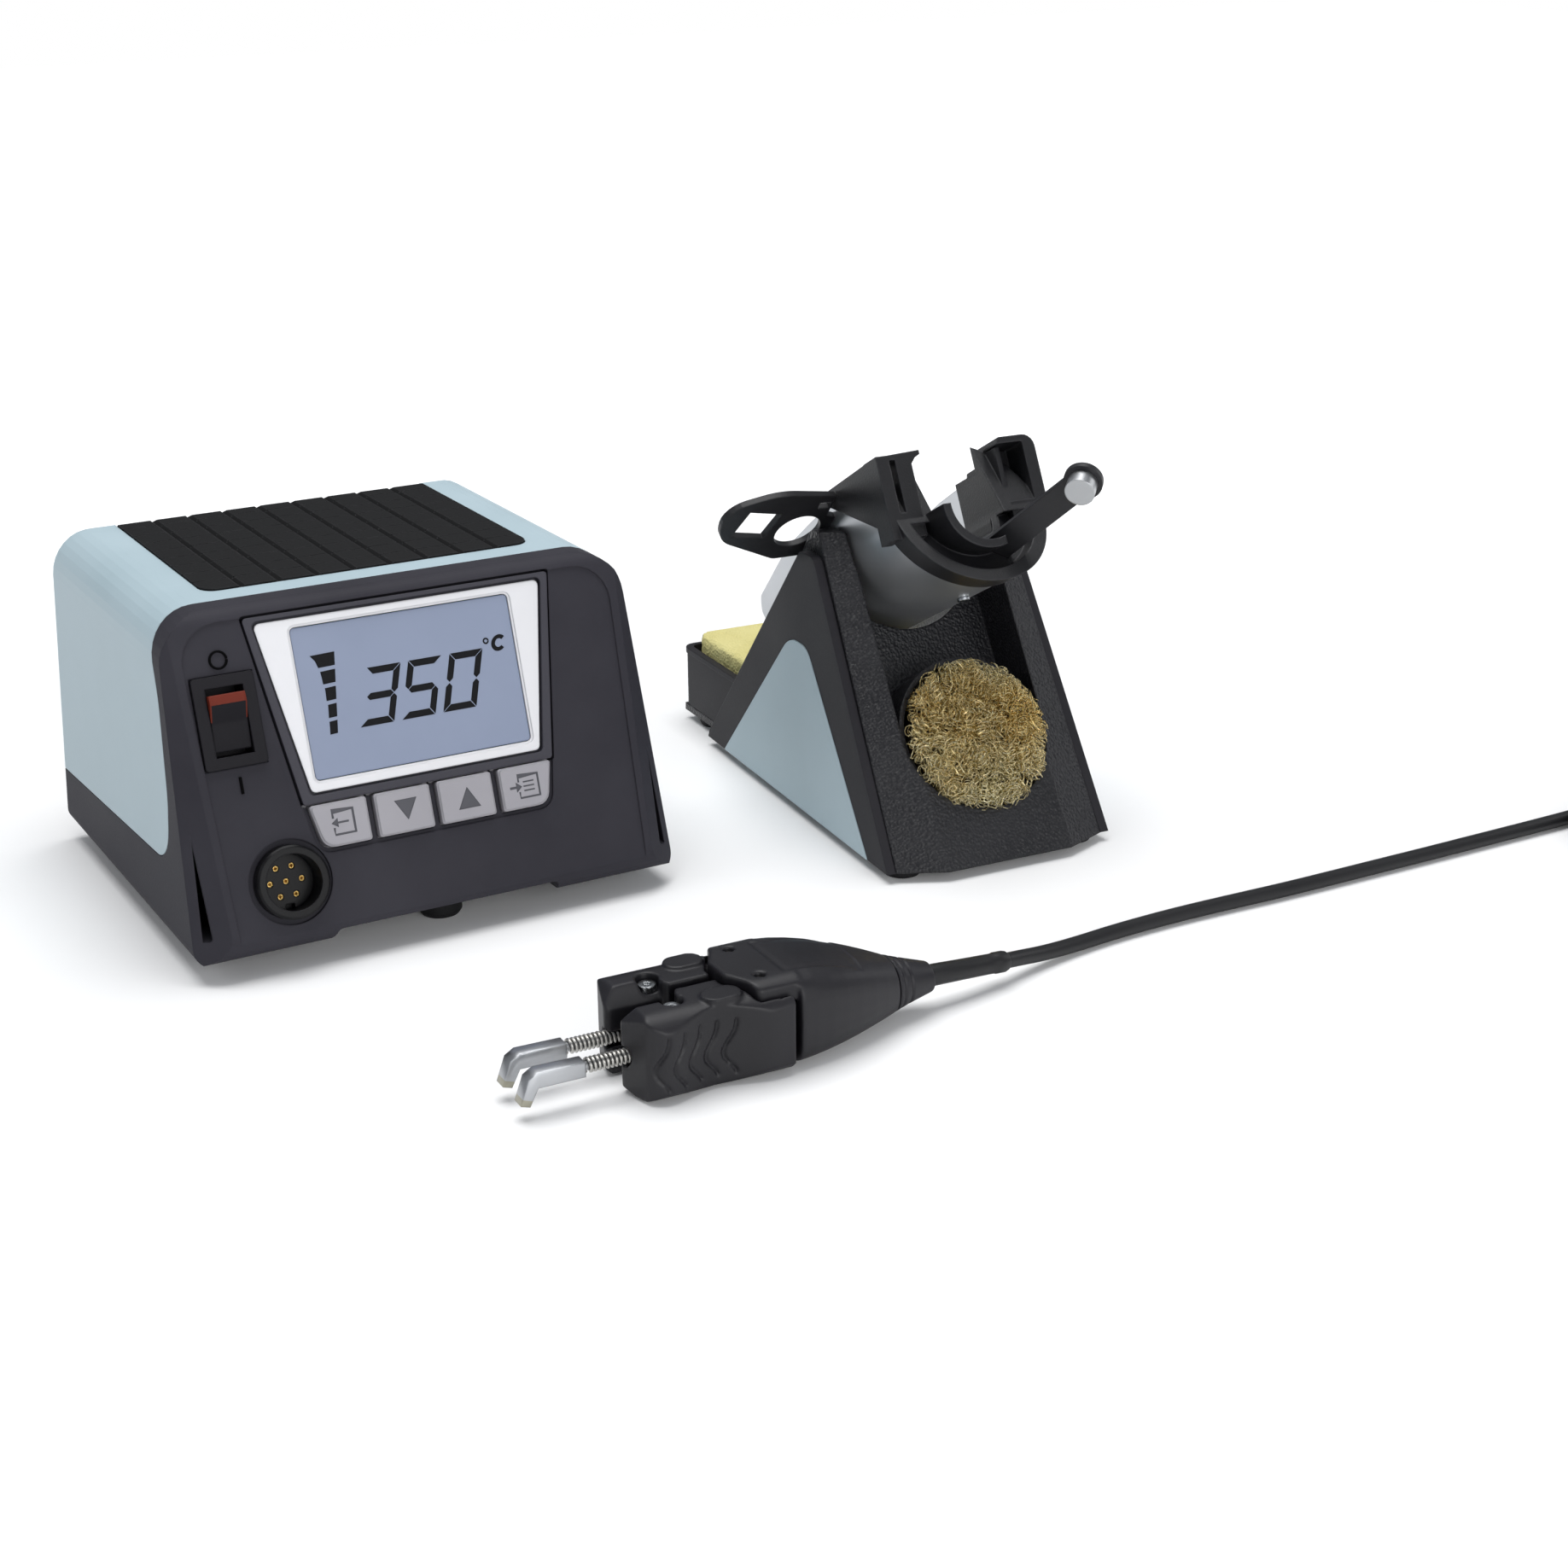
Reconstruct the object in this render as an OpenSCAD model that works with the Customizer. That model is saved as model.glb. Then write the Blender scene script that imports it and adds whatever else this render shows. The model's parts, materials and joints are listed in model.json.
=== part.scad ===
// Soldering station: a control unit, a safety stand with a tilting holder, and tweezers on a lead.
// Millimetres, +Z up, the bench is z = 0 and the origin lies under the middle of the whole set.

/* [Control unit] */
// Width of the housing at its lower edge
unit_w = 150.6; // [142:0.2:170]
// Depth of the housing from front lip to rear face
unit_d = 139.5; // [130:0.5:160]
// Height of the housing's top above the bench
unit_h = 100.4; // [97:0.2:112]
// Height of the underside above the bench
unit_clear = 5.5; // [4.5:0.1:8]
// Inward lean of each side from underside to top
unit_draft = 4.6; // [3:0.1:6]
// Radius of the long top edges
unit_top_r = 14; // [9:0.5:18]
// Backward lean of the front panel, degrees
unit_lean = 17.9; // [15:0.1:20]
// Wall of the plastic housing
unit_wall = 2.6; // [2:0.1:3.2]
// Height of the seam between hood and base at the rear
seam_rear_z = 23.3; // [20:0.1:27]
// Height of the seam at the hood's front corner
seam_front_z = 29.6; // [27:0.1:33]
// Width of the black band between the panel and the hood
band_w = 11; // [9:0.2:13]
// Width of the rubber mat
mat_w = 101.6; // [90:0.2:110]
// Distance of the rubber mat behind the hood's front edge
mat_back = 8.3; // [7:0.1:12]
// Thickness of the rubber mat
mat_t = 2.8; // [2.5:0.1:3.2]
// Depth of the pocket that the mat lies in
mat_sink = 2.2; // [1.8:0.1:2.4]
// Columns of pads on the mat
mat_columns = 9; // [6:1:11]
// Rows of pads on the mat
mat_rows = 9; // [6:1:11]

/* [Front panel] */
// Thickness of the panel's wall
panel_t = 3; // [2.6:0.1:3.4]
// Depth that the panel lies below its border
panel_sink = 0.6; // [0.4:0.1:0.8]
// Width of the display window
window_w = 67; // [60:0.5:69]
// Height of the display window
window_h = 44; // [40:0.5:45]
// Height of the window's centre up the panel
window_up = 69.8; // [69:0.2:70.6]
// Width of one key
key_w = 16.9; // [15:0.1:17.4]
// Height of one key
key_h = 12.6; // [11:0.1:13.2]
// Space between two keys
key_gap = 2.4; // [1.8:0.1:3]
// Travel of a key
key_travel = 0.8; // [0.5:0.1:1]
// Height of a key above the panel
key_proud = 1.4; // [1.2:0.1:1.8]
// Width of the rocker switch's frame
switch_w = 18; // [17:0.2:18.4]
// Height of the rocker switch's frame
switch_h = 26; // [24:0.2:27]
// Distance of the switch from the panel's middle
switch_x = 55.4; // [55:0.1:55.8]
// Radius of the socket's collar
collar_r = 10.6; // [10:0.1:11]
// Radius of the socket's cup
cup_r = 8.1; // [7.6:0.1:8.4]
// Distance of the socket from the panel's middle
socket_x = 46; // [45:0.1:47]
// Height of the socket up the panel
socket_up = 21.4; // [20.5:0.1:22]
// Number of outer contacts in the socket
contacts = 6; // [4:1:7]

/* [Stand] */
// Width of the stand at its front
stand_w = 80; // [76:0.5:88]
// Height of the stand's side frames above the bench
stand_h = 89; // [86:0.5:94]
// Depth of the side frames at their foot
stand_d = 141; // [136:0.5:150]
// Backward lean of the front face, degrees
stand_front_lean = 33; // [32:0.2:34.4]
// Width of the opening for the brass wool
bay_w = 50; // [49.8:0.1:51]
// Height of the opening's round end up the front face
bay_up = 42; // [41:0.2:45]
// Thickness of a side frame
frame_t = 3; // [2.6:0.1:3.6]
// Length of the sponge tray
tray_l = 63; // [57:0.5:66]
// Width of the sponge tray
tray_w = 60; // [55:0.5:60.5]
// Height of the sponge tray
tray_h = 21.6; // [19:0.2:24]
// Wall of the sponge tray
tray_wall = 2; // [1.6:0.1:2.6]
// Thickness of the sponge
sponge_t = 25; // [20:0.5:28]

/* [Holder] */
// Width of the metal guard
guard_w = 48; // [46:0.2:48.6]
// Length of the metal guard
guard_len = 113; // [108:0.5:115]
// Slope of the guard at rest, degrees
guard_slope = 28; // [26:0.5:30]
// Wall of the metal guard
guard_t = 1.2; // [1:0.1:1.6]
// Height of the two posts above the guard's axis
post_h = 20; // [18:0.5:22]
// Thickness of the plastic mouth
mouth_t = 9; // [8:0.5:10]
// Radius of the saddle that the tool lies in
saddle_r = 12; // [11:0.2:13]
// Length of the arm that carries the magnet
magnet_arm_len = 38; // [34:0.5:40]
// Radius of the pivot pins
pivot_r = 3; // [2.5:0.1:3.5]
// Thickness of the flat tool plate
plate_t = 2; // [1.6:0.1:2.6]
// Radius of the magnet
magnet_r = 4.5; // [4:0.1:5.2]

/* [Tweezers] */
// Half width of the grip at its widest
grip_half = 18.5; // [17:0.1:20]
// Height of the grip
grip_h = 25; // [23:0.2:27]
// Space between the two tips
tip_gap = 7.6; // [6.6:0.1:8.4]
// Width of one tip bar
tip_w = 4.4; // [3.8:0.1:5]
// Length of the tip bar
bar_len = 14; // [12:0.5:16]
// Radius of the spring on each tip
spring_r = 2.2; // [1.9:0.1:2.4]
// Radius of the arm's hinge pin
hinge_r = 1.5; // [1.2:0.1:1.8]
// Radius of the lead
cord_r = 2.25; // [2:0.05:2.5]

/* [Fits] */
// Clearance around a running pin
run_gap = 0.05; // [0.02:0.01:0.09]
// Clearance around parts that are set into each other
seat_gap = 0.2; // [0.15:0.05:0.3]
// Clearance around a key
key_clear = 0.4; // [0.3:0.05:0.5]
// Clearance between parts that swing past each other
swing_gap = 0.7; // [0.5:0.1:0.8]

/* [Layout] */
// Space between the control unit and the stand's base
unit_to_stand = 58; // [50:0.5:70]
// Distance of the stand's middle behind the control unit's front
stand_set_back = 38; // [32:0.5:44]
// Turn of the stand on the bench, degrees
stand_turn = -3.5; // [-5:0.5:0]
// Space between the control unit's front and the tweezers' middle
unit_to_tool = 105; // [98:0.5:115]
// Turn of the tweezers on the bench, degrees
tool_turn = -2; // [-3:0.5:0]

/* [Hidden] */
eps = 0.01;

black = "#26262a";
pale_blue = "#a9c8d3";
silver = "#c9cacc";

// Rounded outlines: each corner of a polygon becomes an arc of its own radius.
function unit_vector(v) = v / norm(v);
function corner_arc(a, b, c, r, n) = r <= 0 ? [b] :
  let (u = unit_vector(a - b), w = unit_vector(c - b), half = acos(u * w) / 2,
    centre = b + unit_vector(u + w) * r / sin(half),
    first = b + u * r / tan(half) - centre, last = b + w * r / tan(half) - centre,
    start = atan2(first.y, first.x), turn = (atan2(last.y, last.x) - start + 540) % 360 - 180)
  [for (i = [0:n]) centre + r * [cos(start + turn * i / n), sin(start + turn * i / n)]];
function rounded(points, radii, n = 6) = [for (i = [0:len(points) - 1])
  each corner_arc(points[(i + len(points) - 1) % len(points)], points[i], points[(i + 1) % len(points)],
    is_list(radii) ? radii[i] : radii, n)];
function box_outline(w, h, x = 0, y = 0) =
  [[x - w / 2, y - h / 2], [x + w / 2, y - h / 2], [x + w / 2, y + h / 2], [x - w / 2, y + h / 2]];
// A trapezoid that stands on its narrow side.
function wedge_outline(low_half, high_half, low, high) =
  [[-low_half, low], [low_half, low], [high_half, high], [-high_half, high]];

// Extrudes a side view, drawn in (y, z), across the width.
module across(w) rotate([90, 0, 90]) linear_extrude(w, center = true) children();
// Extrudes a front view, drawn in (x, z), towards the rear from y = 0.
module rearwards(d) translate([0, d, 0]) rotate([90, 0, 0]) linear_extrude(d) children();
module both_sides() {
  children();
  mirror([1, 0, 0]) children();
}

// Control unit: sizes that follow from the ones above.
unit_rear = unit_d / 2;
unit_front = -unit_d / 2;
unit_high = unit_h - unit_clear;
top_front = unit_front + unit_high * tan(unit_lean);
panel_len = unit_high / cos(unit_lean);
lip_r = 7;
foot_r = 6.5;
foot_inset = 22;
bay_floor_z = unit_clear + unit_wall;
chin_cut_w = 72;
chin_cut_h = 4.5;
chin_cut_d = 16;
chin_floor_z = unit_clear + chin_cut_h + unit_wall;
flank_angle = 38;
flank_tilt = 2;
panel_half = unit_w / 2 - 10.8;
panel_top_r = 11;
top_wall = mat_sink + unit_wall;
hood_front_top = top_front + band_w;

function housing_section(inset = 0, top = 0) = rounded([
  [-unit_w / 2 + inset, unit_clear + inset], [unit_w / 2 - inset, unit_clear + inset],
  [unit_w / 2 - unit_draft - inset, unit_h - top], [-unit_w / 2 + unit_draft + inset, unit_h - top]],
  [4 - inset / 2, 4 - inset / 2, unit_top_r - inset, unit_top_r - inset], 8);

module housing_form() difference() {
  intersection() {
    translate([0, unit_front - 1, 0]) rearwards(unit_d + 1) polygon(housing_section());
    across(unit_w + 2) polygon(rounded([[unit_front, unit_clear], [unit_rear, unit_clear],
      [unit_rear, unit_h], [top_front, unit_h]], [lip_r, 3, 2, 6], 8));
  }
  both_sides() on_panel() translate([panel_half, -20, 0]) rotate([0, 0, -flank_tilt])
    rotate([0, flank_angle, 0]) cube([40, panel_len + 50, 20]);
}

// The hood covers everything above and behind this side view.
module hood_zone(grow = 0) across(unit_w + 10) polygon(rounded([
  [unit_rear + 5, seam_rear_z - grow], [hood_front_top - 12.8 - grow, seam_front_z - grow],
  [hood_front_top - 14.6 - grow, unit_h / 2 - 1], [hood_front_top - 10.2 - grow, unit_h * 0.77],
  [hood_front_top + 1.4 - grow, unit_h + 5], [unit_rear + 5, unit_h + 5]], [0, 12, 30, 40, 0, 0], 8));

// Depth of the panel's inner face at a height.
function panel_back(z) = unit_front + (z - unit_clear) * tan(unit_lean) + (panel_t + panel_sink) / cos(unit_lean);
module cavity() intersection() {
  translate([0, unit_front, 0]) rearwards(unit_d + 5)
    polygon(housing_section(unit_wall, top_wall));
  across(unit_w) polygon(rounded([
    [panel_back(chin_floor_z), chin_floor_z], [unit_front + chin_cut_d + unit_wall, chin_floor_z],
    [unit_front + chin_cut_d + unit_wall, bay_floor_z], [unit_rear + 6, bay_floor_z],
    [unit_rear + 6, unit_h - top_wall],
    [panel_back(unit_h - top_wall), unit_h - top_wall]], [1, 0, 0, 0, 0, 2], 4));
}

// Places children on the leaning front: x across, y up the slope, z out of it.
module on_panel() translate([0, unit_front, unit_clear]) rotate([90 - unit_lean, 0, 0]) children();
module on_face() on_panel() translate([0, 0, -panel_sink]) children();

module hood() at_unit() color(pale_blue) difference() {
  intersection() {
    housing_form();
    hood_zone();
  }
  cavity();
  translate([0, 0, unit_h - mat_sink]) linear_extrude(mat_sink + 1) polygon(mat_outline(seat_gap));
}

mat_front = hood_front_top + mat_back;
mat_len = unit_rear - 1 - mat_front;
function mat_outline(grow = 0) = rounded([[-mat_w / 2 - grow, mat_front - grow],
  [mat_w / 2 + grow, mat_front - grow], [mat_w / 2 + grow, unit_rear - 1 + grow * 10],
  [-mat_w / 2 - grow, unit_rear - 1 + grow * 10]], [5, 5, 0, 0], 5);
mat_column = mat_w / mat_columns;
mat_row = mat_len / mat_rows;
mat_groove = 1.5;

mat_low = unit_h - mat_sink;
mat_high = mat_low + mat_t;
module top_mat() at_unit() color("#232324") difference() {
  intersection() {
    translate([0, 0, mat_low]) linear_extrude(mat_t) polygon(mat_outline());
    across(mat_w + 2) polygon([[mat_front - 1, mat_low - 1], [unit_rear - 1, mat_low - 1],
      [unit_rear - 1, mat_high - 2], [unit_rear - 4.5, mat_high], [mat_front - 1, mat_high]]);
  }
  for (i = [1:mat_columns - 1]) translate([-mat_w / 2 + i * mat_column, 0, mat_high]) rotate([0, 45, 0])
    cube([mat_groove, unit_d * 2, mat_groove], center = true);
  for (j = [1:mat_rows - 1]) translate([0, mat_front + j * mat_row, mat_high])
    cube([mat_w * 2, 0.6, 1.1], center = true);
}

// Display, keys, switch and socket on the front panel.
window_low = window_up - window_h / 2;
window_high = window_up + window_h / 2;
frame_low = window_low - 3;
frame_high = window_high + 2.6;
frame_low_half = window_w / 2 + 1.8;
frame_high_half = window_w / 2 + 10.3;
surround_low = frame_low - 3.1;
surround_high = frame_high + 2;
surround_low_half = frame_low_half + 3.2;
surround_high_half = frame_high_half + 3;
groove = 0.7;
keys = 4;
row_half = (keys * key_w + (keys - 1) * key_gap) / 2;
row_high = surround_low - 0.4;
row_low = row_high - key_h;
row_sink = 0.9;
flange_t = 1.4;
flange_w = 0.9;

function key_x(i) = -row_half + key_w / 2 + i * (key_w + key_gap);
// The two end keys follow the slant of the display and have one round lower corner.
function key_outline(i, grow = 0) = let (w = key_w / 2 + grow, low = row_low - grow, high = row_high + grow,
    slant = i == 0 || i == keys - 1 ? 2.6 : 0)
  rounded([[-w + (i == 0 ? slant : 0), low], [w - (i == keys - 1 ? slant : 0), low], [w, high], [-w, high]],
    [i == 0 ? 4 : 0.8, i == keys - 1 ? 4 : 0.8, 0.8, 0.8], 4);

module trapezoid(low_half, high_half, low, high, r) polygon(rounded(wedge_outline(low_half, high_half, low, high), r, 4));

module surround_shape(grow = 0)
  trapezoid(surround_low_half + grow, surround_high_half + grow, surround_low - grow, surround_high + grow, 1);
module silver_shape(grow = 0)
  trapezoid(frame_low_half + grow, frame_high_half + grow, frame_low - grow, frame_high + grow, 1.6);

switch_up = window_up - 0.8;
rocker_w = 10.4;
rocker_h = 17.4;
rocker_r = 9.4;
rocker_depth = 3.4;
switch_box_d = 14;
socket_ring_r = collar_r + 1.6;
collar_proud = 3.4;
socket_depth = 8;
insert_t = 6;
contact_r = 0.8;
contact_ring = cup_r * 0.58;

module base_housing() at_unit() color(black) difference() {
  housing_form();
  hood_zone(seat_gap);
  cavity();
  on_panel() translate([0, 0, -panel_sink]) linear_extrude(5) polygon(rounded([
    [-panel_half + 1.6, -9], [panel_half - 1.6, -9], [panel_half + 1.4, panel_len - 3.2],
    [-panel_half - 1.4, panel_len - 3.2]], [0, 0, panel_top_r, panel_top_r], 6));
  on_face() {
    translate([0, 0, -surround_t - seat_gap]) linear_extrude(20) surround_shape(groove);
    translate([0, 0, -row_sink]) linear_extrude(5) polygon(rounded([
      [-row_half + 1, row_low - 1.4], [row_half - 1, row_low - 1.4],
      [row_half + 1.6, row_high + 1.2], [-row_half - 1.6, row_high + 1.2]], [4.6, 4.6, 0, 0], 4));
    for (i = [0:keys - 1]) translate([key_x(i), 0, -10]) linear_extrude(20)
      polygon(key_outline(i, key_clear));
    translate([-switch_x, switch_up, -10]) linear_extrude(20)
      polygon(box_outline(rocker_w + 3.4, switch_h - 4));
    translate([-switch_x, switch_up, -0.8]) linear_extrude(5)
      polygon(box_outline(switch_w + seat_gap * 2, switch_h + seat_gap * 2));
    translate([-socket_x, socket_up, -1.2]) cylinder(r = socket_ring_r, h = 5, $fn = 64);
    translate([-socket_x, socket_up, -12]) cylinder(r = collar_r - 1.5 + seat_gap, h = 20, $fn = 64);
  }
  translate([0, unit_front, unit_clear - 5]) rearwards(chin_cut_d) polygon(rounded([
    [-chin_cut_w / 2 - 2, 0], [chin_cut_w / 2 + 2, 0], [chin_cut_w / 2 - 2, 5 + chin_cut_h],
    [-chin_cut_w / 2 + 2, 5 + chin_cut_h]], [0, 0, 1.5, 1.5], 3));
  for (p = foot_places()) translate([p.x, p.y, unit_clear - 1]) cylinder(r = foot_r + seat_gap, h = 1.8, $fn = 48);
  for (p = screw_places()) translate([p.x, p.y, 0]) {
    cylinder(r = screw_r + seat_gap, h = 30, $fn = 24);
    cylinder(r = screw_head_r + seat_gap, h = unit_clear + 1.2, $fn = 32);
  }
}

function foot_places() = [[-unit_w / 2 + foot_inset, unit_front + 32], [unit_w / 2 - foot_inset, unit_front + 32],
  [-unit_w / 2 + foot_inset, unit_rear - 20], [unit_w / 2 - foot_inset, unit_rear - 20],
  [4, unit_front + 22]];
screw_r = 1.5;
screw_head_r = 2.8;
screw_len = 9;
boss_r = 3.6;
function screw_places() = [[-unit_w / 2 + 9, unit_front + 50], [unit_w / 2 - 9, unit_front + 50],
  [-unit_w / 2 + 9, unit_rear - 12], [unit_w / 2 - 9, unit_rear - 12]];

module unit_feet() at_unit() color("#1d1d1e") for (p = foot_places()) translate([p.x, p.y, 0]) {
  cylinder(r1 = foot_r - 0.8, r2 = foot_r, h = 1.2, $fn = 48);
  translate([0, 0, 1.2]) cylinder(r = foot_r, h = unit_clear - 0.4, $fn = 48);
}

module base_screws() at_unit() color("silver") for (p = screw_places()) translate([p.x, p.y, unit_clear - 0.8]) {
  cylinder(r = screw_head_r, h = 2, $fn = 32);
  cylinder(r = screw_r, h = screw_len, $fn = 24);
}

surround_t = panel_t + 1.3;
module display_surround() at_unit() color("#303034") on_face() difference() {
  union() {
    translate([0, 0, -surround_t]) linear_extrude(surround_t + 0.4) surround_shape();
    translate([0, 0, -surround_t]) linear_extrude(surround_t - panel_t - 0.1)
      trapezoid(surround_low_half + 2.4, surround_high_half + 2, surround_low, window_high, 1);
  }
  translate([0, 0, -1.8]) linear_extrude(5) silver_shape(groove);
  translate([0, 0, -10]) linear_extrude(20)
    polygon(rounded(box_outline(window_w + 2, window_h + 2, 0, window_up), 1.5, 4));
  translate([-unit_w / 2, row_low, -surround_t - 1]) cube([unit_w, key_h + 1.5, surround_t - 1]);
  translate([-unit_w / 2, 0, -surround_t - 1]) cube([unit_w, surround_low, surround_t + 0.9 - panel_t]);
}

module display_frame() at_unit() color(silver) on_face() translate([0, 0, -1.7]) difference() {
  linear_extrude(1.5) silver_shape();
  translate([0, 0, -1]) linear_extrude(5)
    polygon(rounded(box_outline(window_w, window_h, 0, window_up), 1.5, 4));
  translate([0, 0, 1]) linear_extrude(5)
    polygon(rounded(box_outline(window_w + 1.2, window_h + 1.2, 0, window_up), 2, 4));
}

module lcd_panel() at_unit() color("#8f9dc0") on_face() translate([0, 0, -4.4]) {
  linear_extrude(3.4) polygon(rounded(box_outline(window_w - seat_gap * 2, window_h - seat_gap * 2, 0, window_up), 1.2, 4));
}

board_n = -panel_t - 4.6;
module display_board() at_unit() color("#2f6b45") on_face() {
  translate([0, 0, board_n - 1.6]) linear_extrude(1.6)
    polygon([[-row_half, row_low - 1], [row_half, row_low - 1], [row_half, surround_high],
      [-row_half, surround_high]]);
  for (i = [0:keys - 1]) translate([key_x(i), (row_low + row_high) / 2, board_n - eps])
    cylinder(r = 2, h = -panel_t - 0.1 - flange_t - key_travel - 0.2 - board_n, $fn = 24);
  for (y = [window_low + 3, window_high - 3]) translate([-window_w / 2 + 4, y - 1.5, board_n - eps])
    cube([window_w - 8, 3, -4.4 - board_n]);
}

module key(i) at_unit() color("#9b9ba0") on_face() translate([key_x(i), 0, 0]) {
  translate([0, 0, -panel_t - 0.1]) linear_extrude(panel_t + key_proud + 0.1 - 0.4) polygon(key_outline(i));
  translate([0, 0, key_proud - 0.4]) linear_extrude(0.4) polygon(key_outline(i, -0.4));
  translate([0, 0, -panel_t - 0.1 - flange_t]) linear_extrude(flange_t) polygon(key_outline(i, flange_w));
}
module key_exit() key(0);
module key_down() key(1);
module key_up() key(2);
module key_menu() key(3);

module switch_housing() at_unit() color("#222225") on_face() translate([-switch_x, switch_up, 0]) difference() {
  union() {
    translate([0, 0, -0.8]) linear_extrude(2.2) polygon(rounded(box_outline(switch_w, switch_h), 1, 4));
    translate([0, 0, -switch_box_d]) linear_extrude(switch_box_d)
      polygon(box_outline(rocker_w + 3, switch_h - 4.4));
  }
  translate([0, 0, -rocker_depth - 4]) linear_extrude(12)
    polygon(box_outline(rocker_w + 0.6, rocker_h + 2));
  rotate([0, 90, 0]) translate([rocker_depth, 0, 0])
    cylinder(r = pin_r + run_gap, h = rocker_w + 3 - 0.8, center = true, $fn = 32);
}
pin_r = 1.1;

// The rocker turns on a pin across the switch; its upper half stands proud when the unit is on.
module rocker() at_unit() color("#1b1b1d") on_face() translate([-switch_x, switch_up, -rocker_depth]) {
  across(rocker_w) polygon(rounded([[-rocker_h / 2 + 0.8, -2.4], [rocker_h / 2 - 1.2, -0.6],
    [rocker_h / 2 - 1, 6.4], [rocker_h / 2 - 3.6, 6.8], [0, 4.4], [-rocker_h / 2 + 0.4, 3.4]],
    [1, 1, 0.4, 0.6, 4, 0.4], 4));
  rotate([0, 90, 0]) cylinder(r = pin_r, h = rocker_w + 1.8, center = true, $fn = 32);
}

module socket_collar() at_unit() color("#202023") on_face() translate([-socket_x, socket_up, 0]) difference() {
  union() {
    translate([0, 0, -socket_depth - 5]) cylinder(r = collar_r - 1.5, h = socket_depth + 5, $fn = 64);
    translate([0, 0, -1.2]) cylinder(r = collar_r, h = collar_proud + 0.6, $fn = 64);
    translate([0, 0, collar_proud - 0.6]) cylinder(r1 = collar_r, r2 = collar_r - 0.6, h = 0.6, $fn = 64);
    translate([0, 0, -panel_t - 2.4 - seat_gap]) cylinder(r = collar_r + 1.5, h = 2.4, $fn = 6);
  }
  translate([0, 0, -socket_depth - 6]) cylinder(r = cup_r, h = socket_depth + 16, $fn = 64);
}

module contact_spots() {
  children();
  for (i = [0:contacts - 1]) rotate(90 + i * 360 / contacts + 180 / contacts)
    translate([contact_ring, 0, 0]) children();
}

insert_face = collar_proud - socket_depth;
module socket_insert() at_unit() color("#2b2b2e") on_face() translate([-socket_x, socket_up, insert_face - insert_t]) difference() {
  cylinder(r = cup_r - run_gap, h = insert_t, $fn = 64);
  translate([0, 0, -1]) contact_spots() cylinder(r = contact_r + run_gap, h = insert_t + 2, $fn = 16);
  translate([-1.3, -cup_r - 1, insert_t - 3]) cube([2.6, 2.6, 4]);
}

module socket_contacts() at_unit() color("gold") on_face()
  translate([-socket_x, socket_up, insert_face - insert_t - 2]) contact_spots() difference() {
    cylinder(r = contact_r, h = insert_t + 1.4, $fn = 16);
    translate([0, 0, 3]) cylinder(r = contact_r - 0.35, h = insert_t, $fn = 16);
  }

// Rear of the control unit.
rear_t = 2.4;
rear_in = 1.6;
inlet_x = -34;
inlet_z = 42;
inlet_w = 27;
inlet_h = 20;
bond_x = 46;
bond_r = 4;

module rear_panel() at_unit() color("#232326") difference() {
  translate([0, unit_rear - rear_in - rear_t, 0]) rearwards(rear_t)
    polygon(housing_section(unit_wall + seat_gap, top_wall + seat_gap));
  translate([inlet_x, unit_rear - 10, inlet_z]) rearwards(20) square([inlet_w, inlet_h * 2], center = true);
  translate([bond_x, unit_rear - 10, inlet_z]) rotate([-90, 0, 0]) cylinder(r = bond_r, h = 20, $fn = 32);
  for (i = [0:5]) translate([-6 + i * 7, unit_rear, unit_h - 32])
    cube([3, 20, 26], center = true);
}

// A three-blade mains inlet above a drawer for two fuses.
inlet_mid = inlet_z + 8;
module mains_inlet() at_unit() color("#1b1b1c") difference() {
  union() {
    translate([inlet_x, unit_rear - rear_in, inlet_z]) rearwards(2.2)
      polygon(rounded(box_outline(inlet_w + 6, inlet_h * 2 + 6), 2, 4));
    translate([inlet_x, unit_rear - 26, inlet_z]) rearwards(26 - rear_in)
      square([inlet_w - seat_gap * 2, inlet_h * 2 - seat_gap * 2], center = true);
  }
  translate([inlet_x, unit_rear - 18, inlet_mid]) rearwards(20)
    polygon(rounded(box_outline(24, 16.6), [4, 4, 1, 1], 3));
  translate([inlet_x, unit_rear - 20, inlet_z - 12]) rearwards(22) square([22.4, 10.4], center = true);
  for (p = [[-7, -3], [7, -3], [0, 1]]) translate([inlet_x + p.x - 1, unit_rear - 30, inlet_mid + p.y])
    cube([2, 20, 4]);
}

module inlet_pins() at_unit() color("#c9cacb") for (p = [[-7, -3], [7, -3], [0, 1]])
  translate([inlet_x + p.x - 1, unit_rear - 22, inlet_mid + p.y]) cube([2, 17, 4]);

module fuse_drawer() at_unit() color("#262628") translate([inlet_x, unit_rear - 19, inlet_z - 12]) {
  rearwards(19 - rear_in + 2.2) square([22, 10], center = true);
  translate([0, 19 - rear_in + 2.2, 0]) rearwards(0.8) square([6, 6], center = true);
}

module bonding_socket() at_unit() color("#b9b0a0") translate([bond_x, unit_rear - rear_in + 1.8, inlet_z])
  rotate([90, 0, 0]) difference() {
    union() {
      cylinder(r = bond_r + 2, h = 1.8, $fn = 48);
      cylinder(r = bond_r - run_gap, h = 14, $fn = 32);
    }
    translate([0, 0, -1]) cylinder(r = 2, h = 12, $fn = 32);
  }

// Inside of the control unit.
core_size = [52, 26, 48];
core_at = [unit_w / 2 - 42, unit_rear - 36, bay_floor_z + seat_gap];
core_leg = 13;
coil_size = [25.6, 42, 34];
module transformer_core() at_unit() color("#55575a") translate(core_at) difference() {
  translate([-core_size.x / 2, -core_size.y / 2, 0]) cube(core_size);
  for (s = [-1, 1]) translate([s * (core_size.x / 2 - core_leg), 0, core_size.z / 2])
    cube([core_leg - 1, core_size.y + 2, core_size.z - core_leg], center = true);
}

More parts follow.
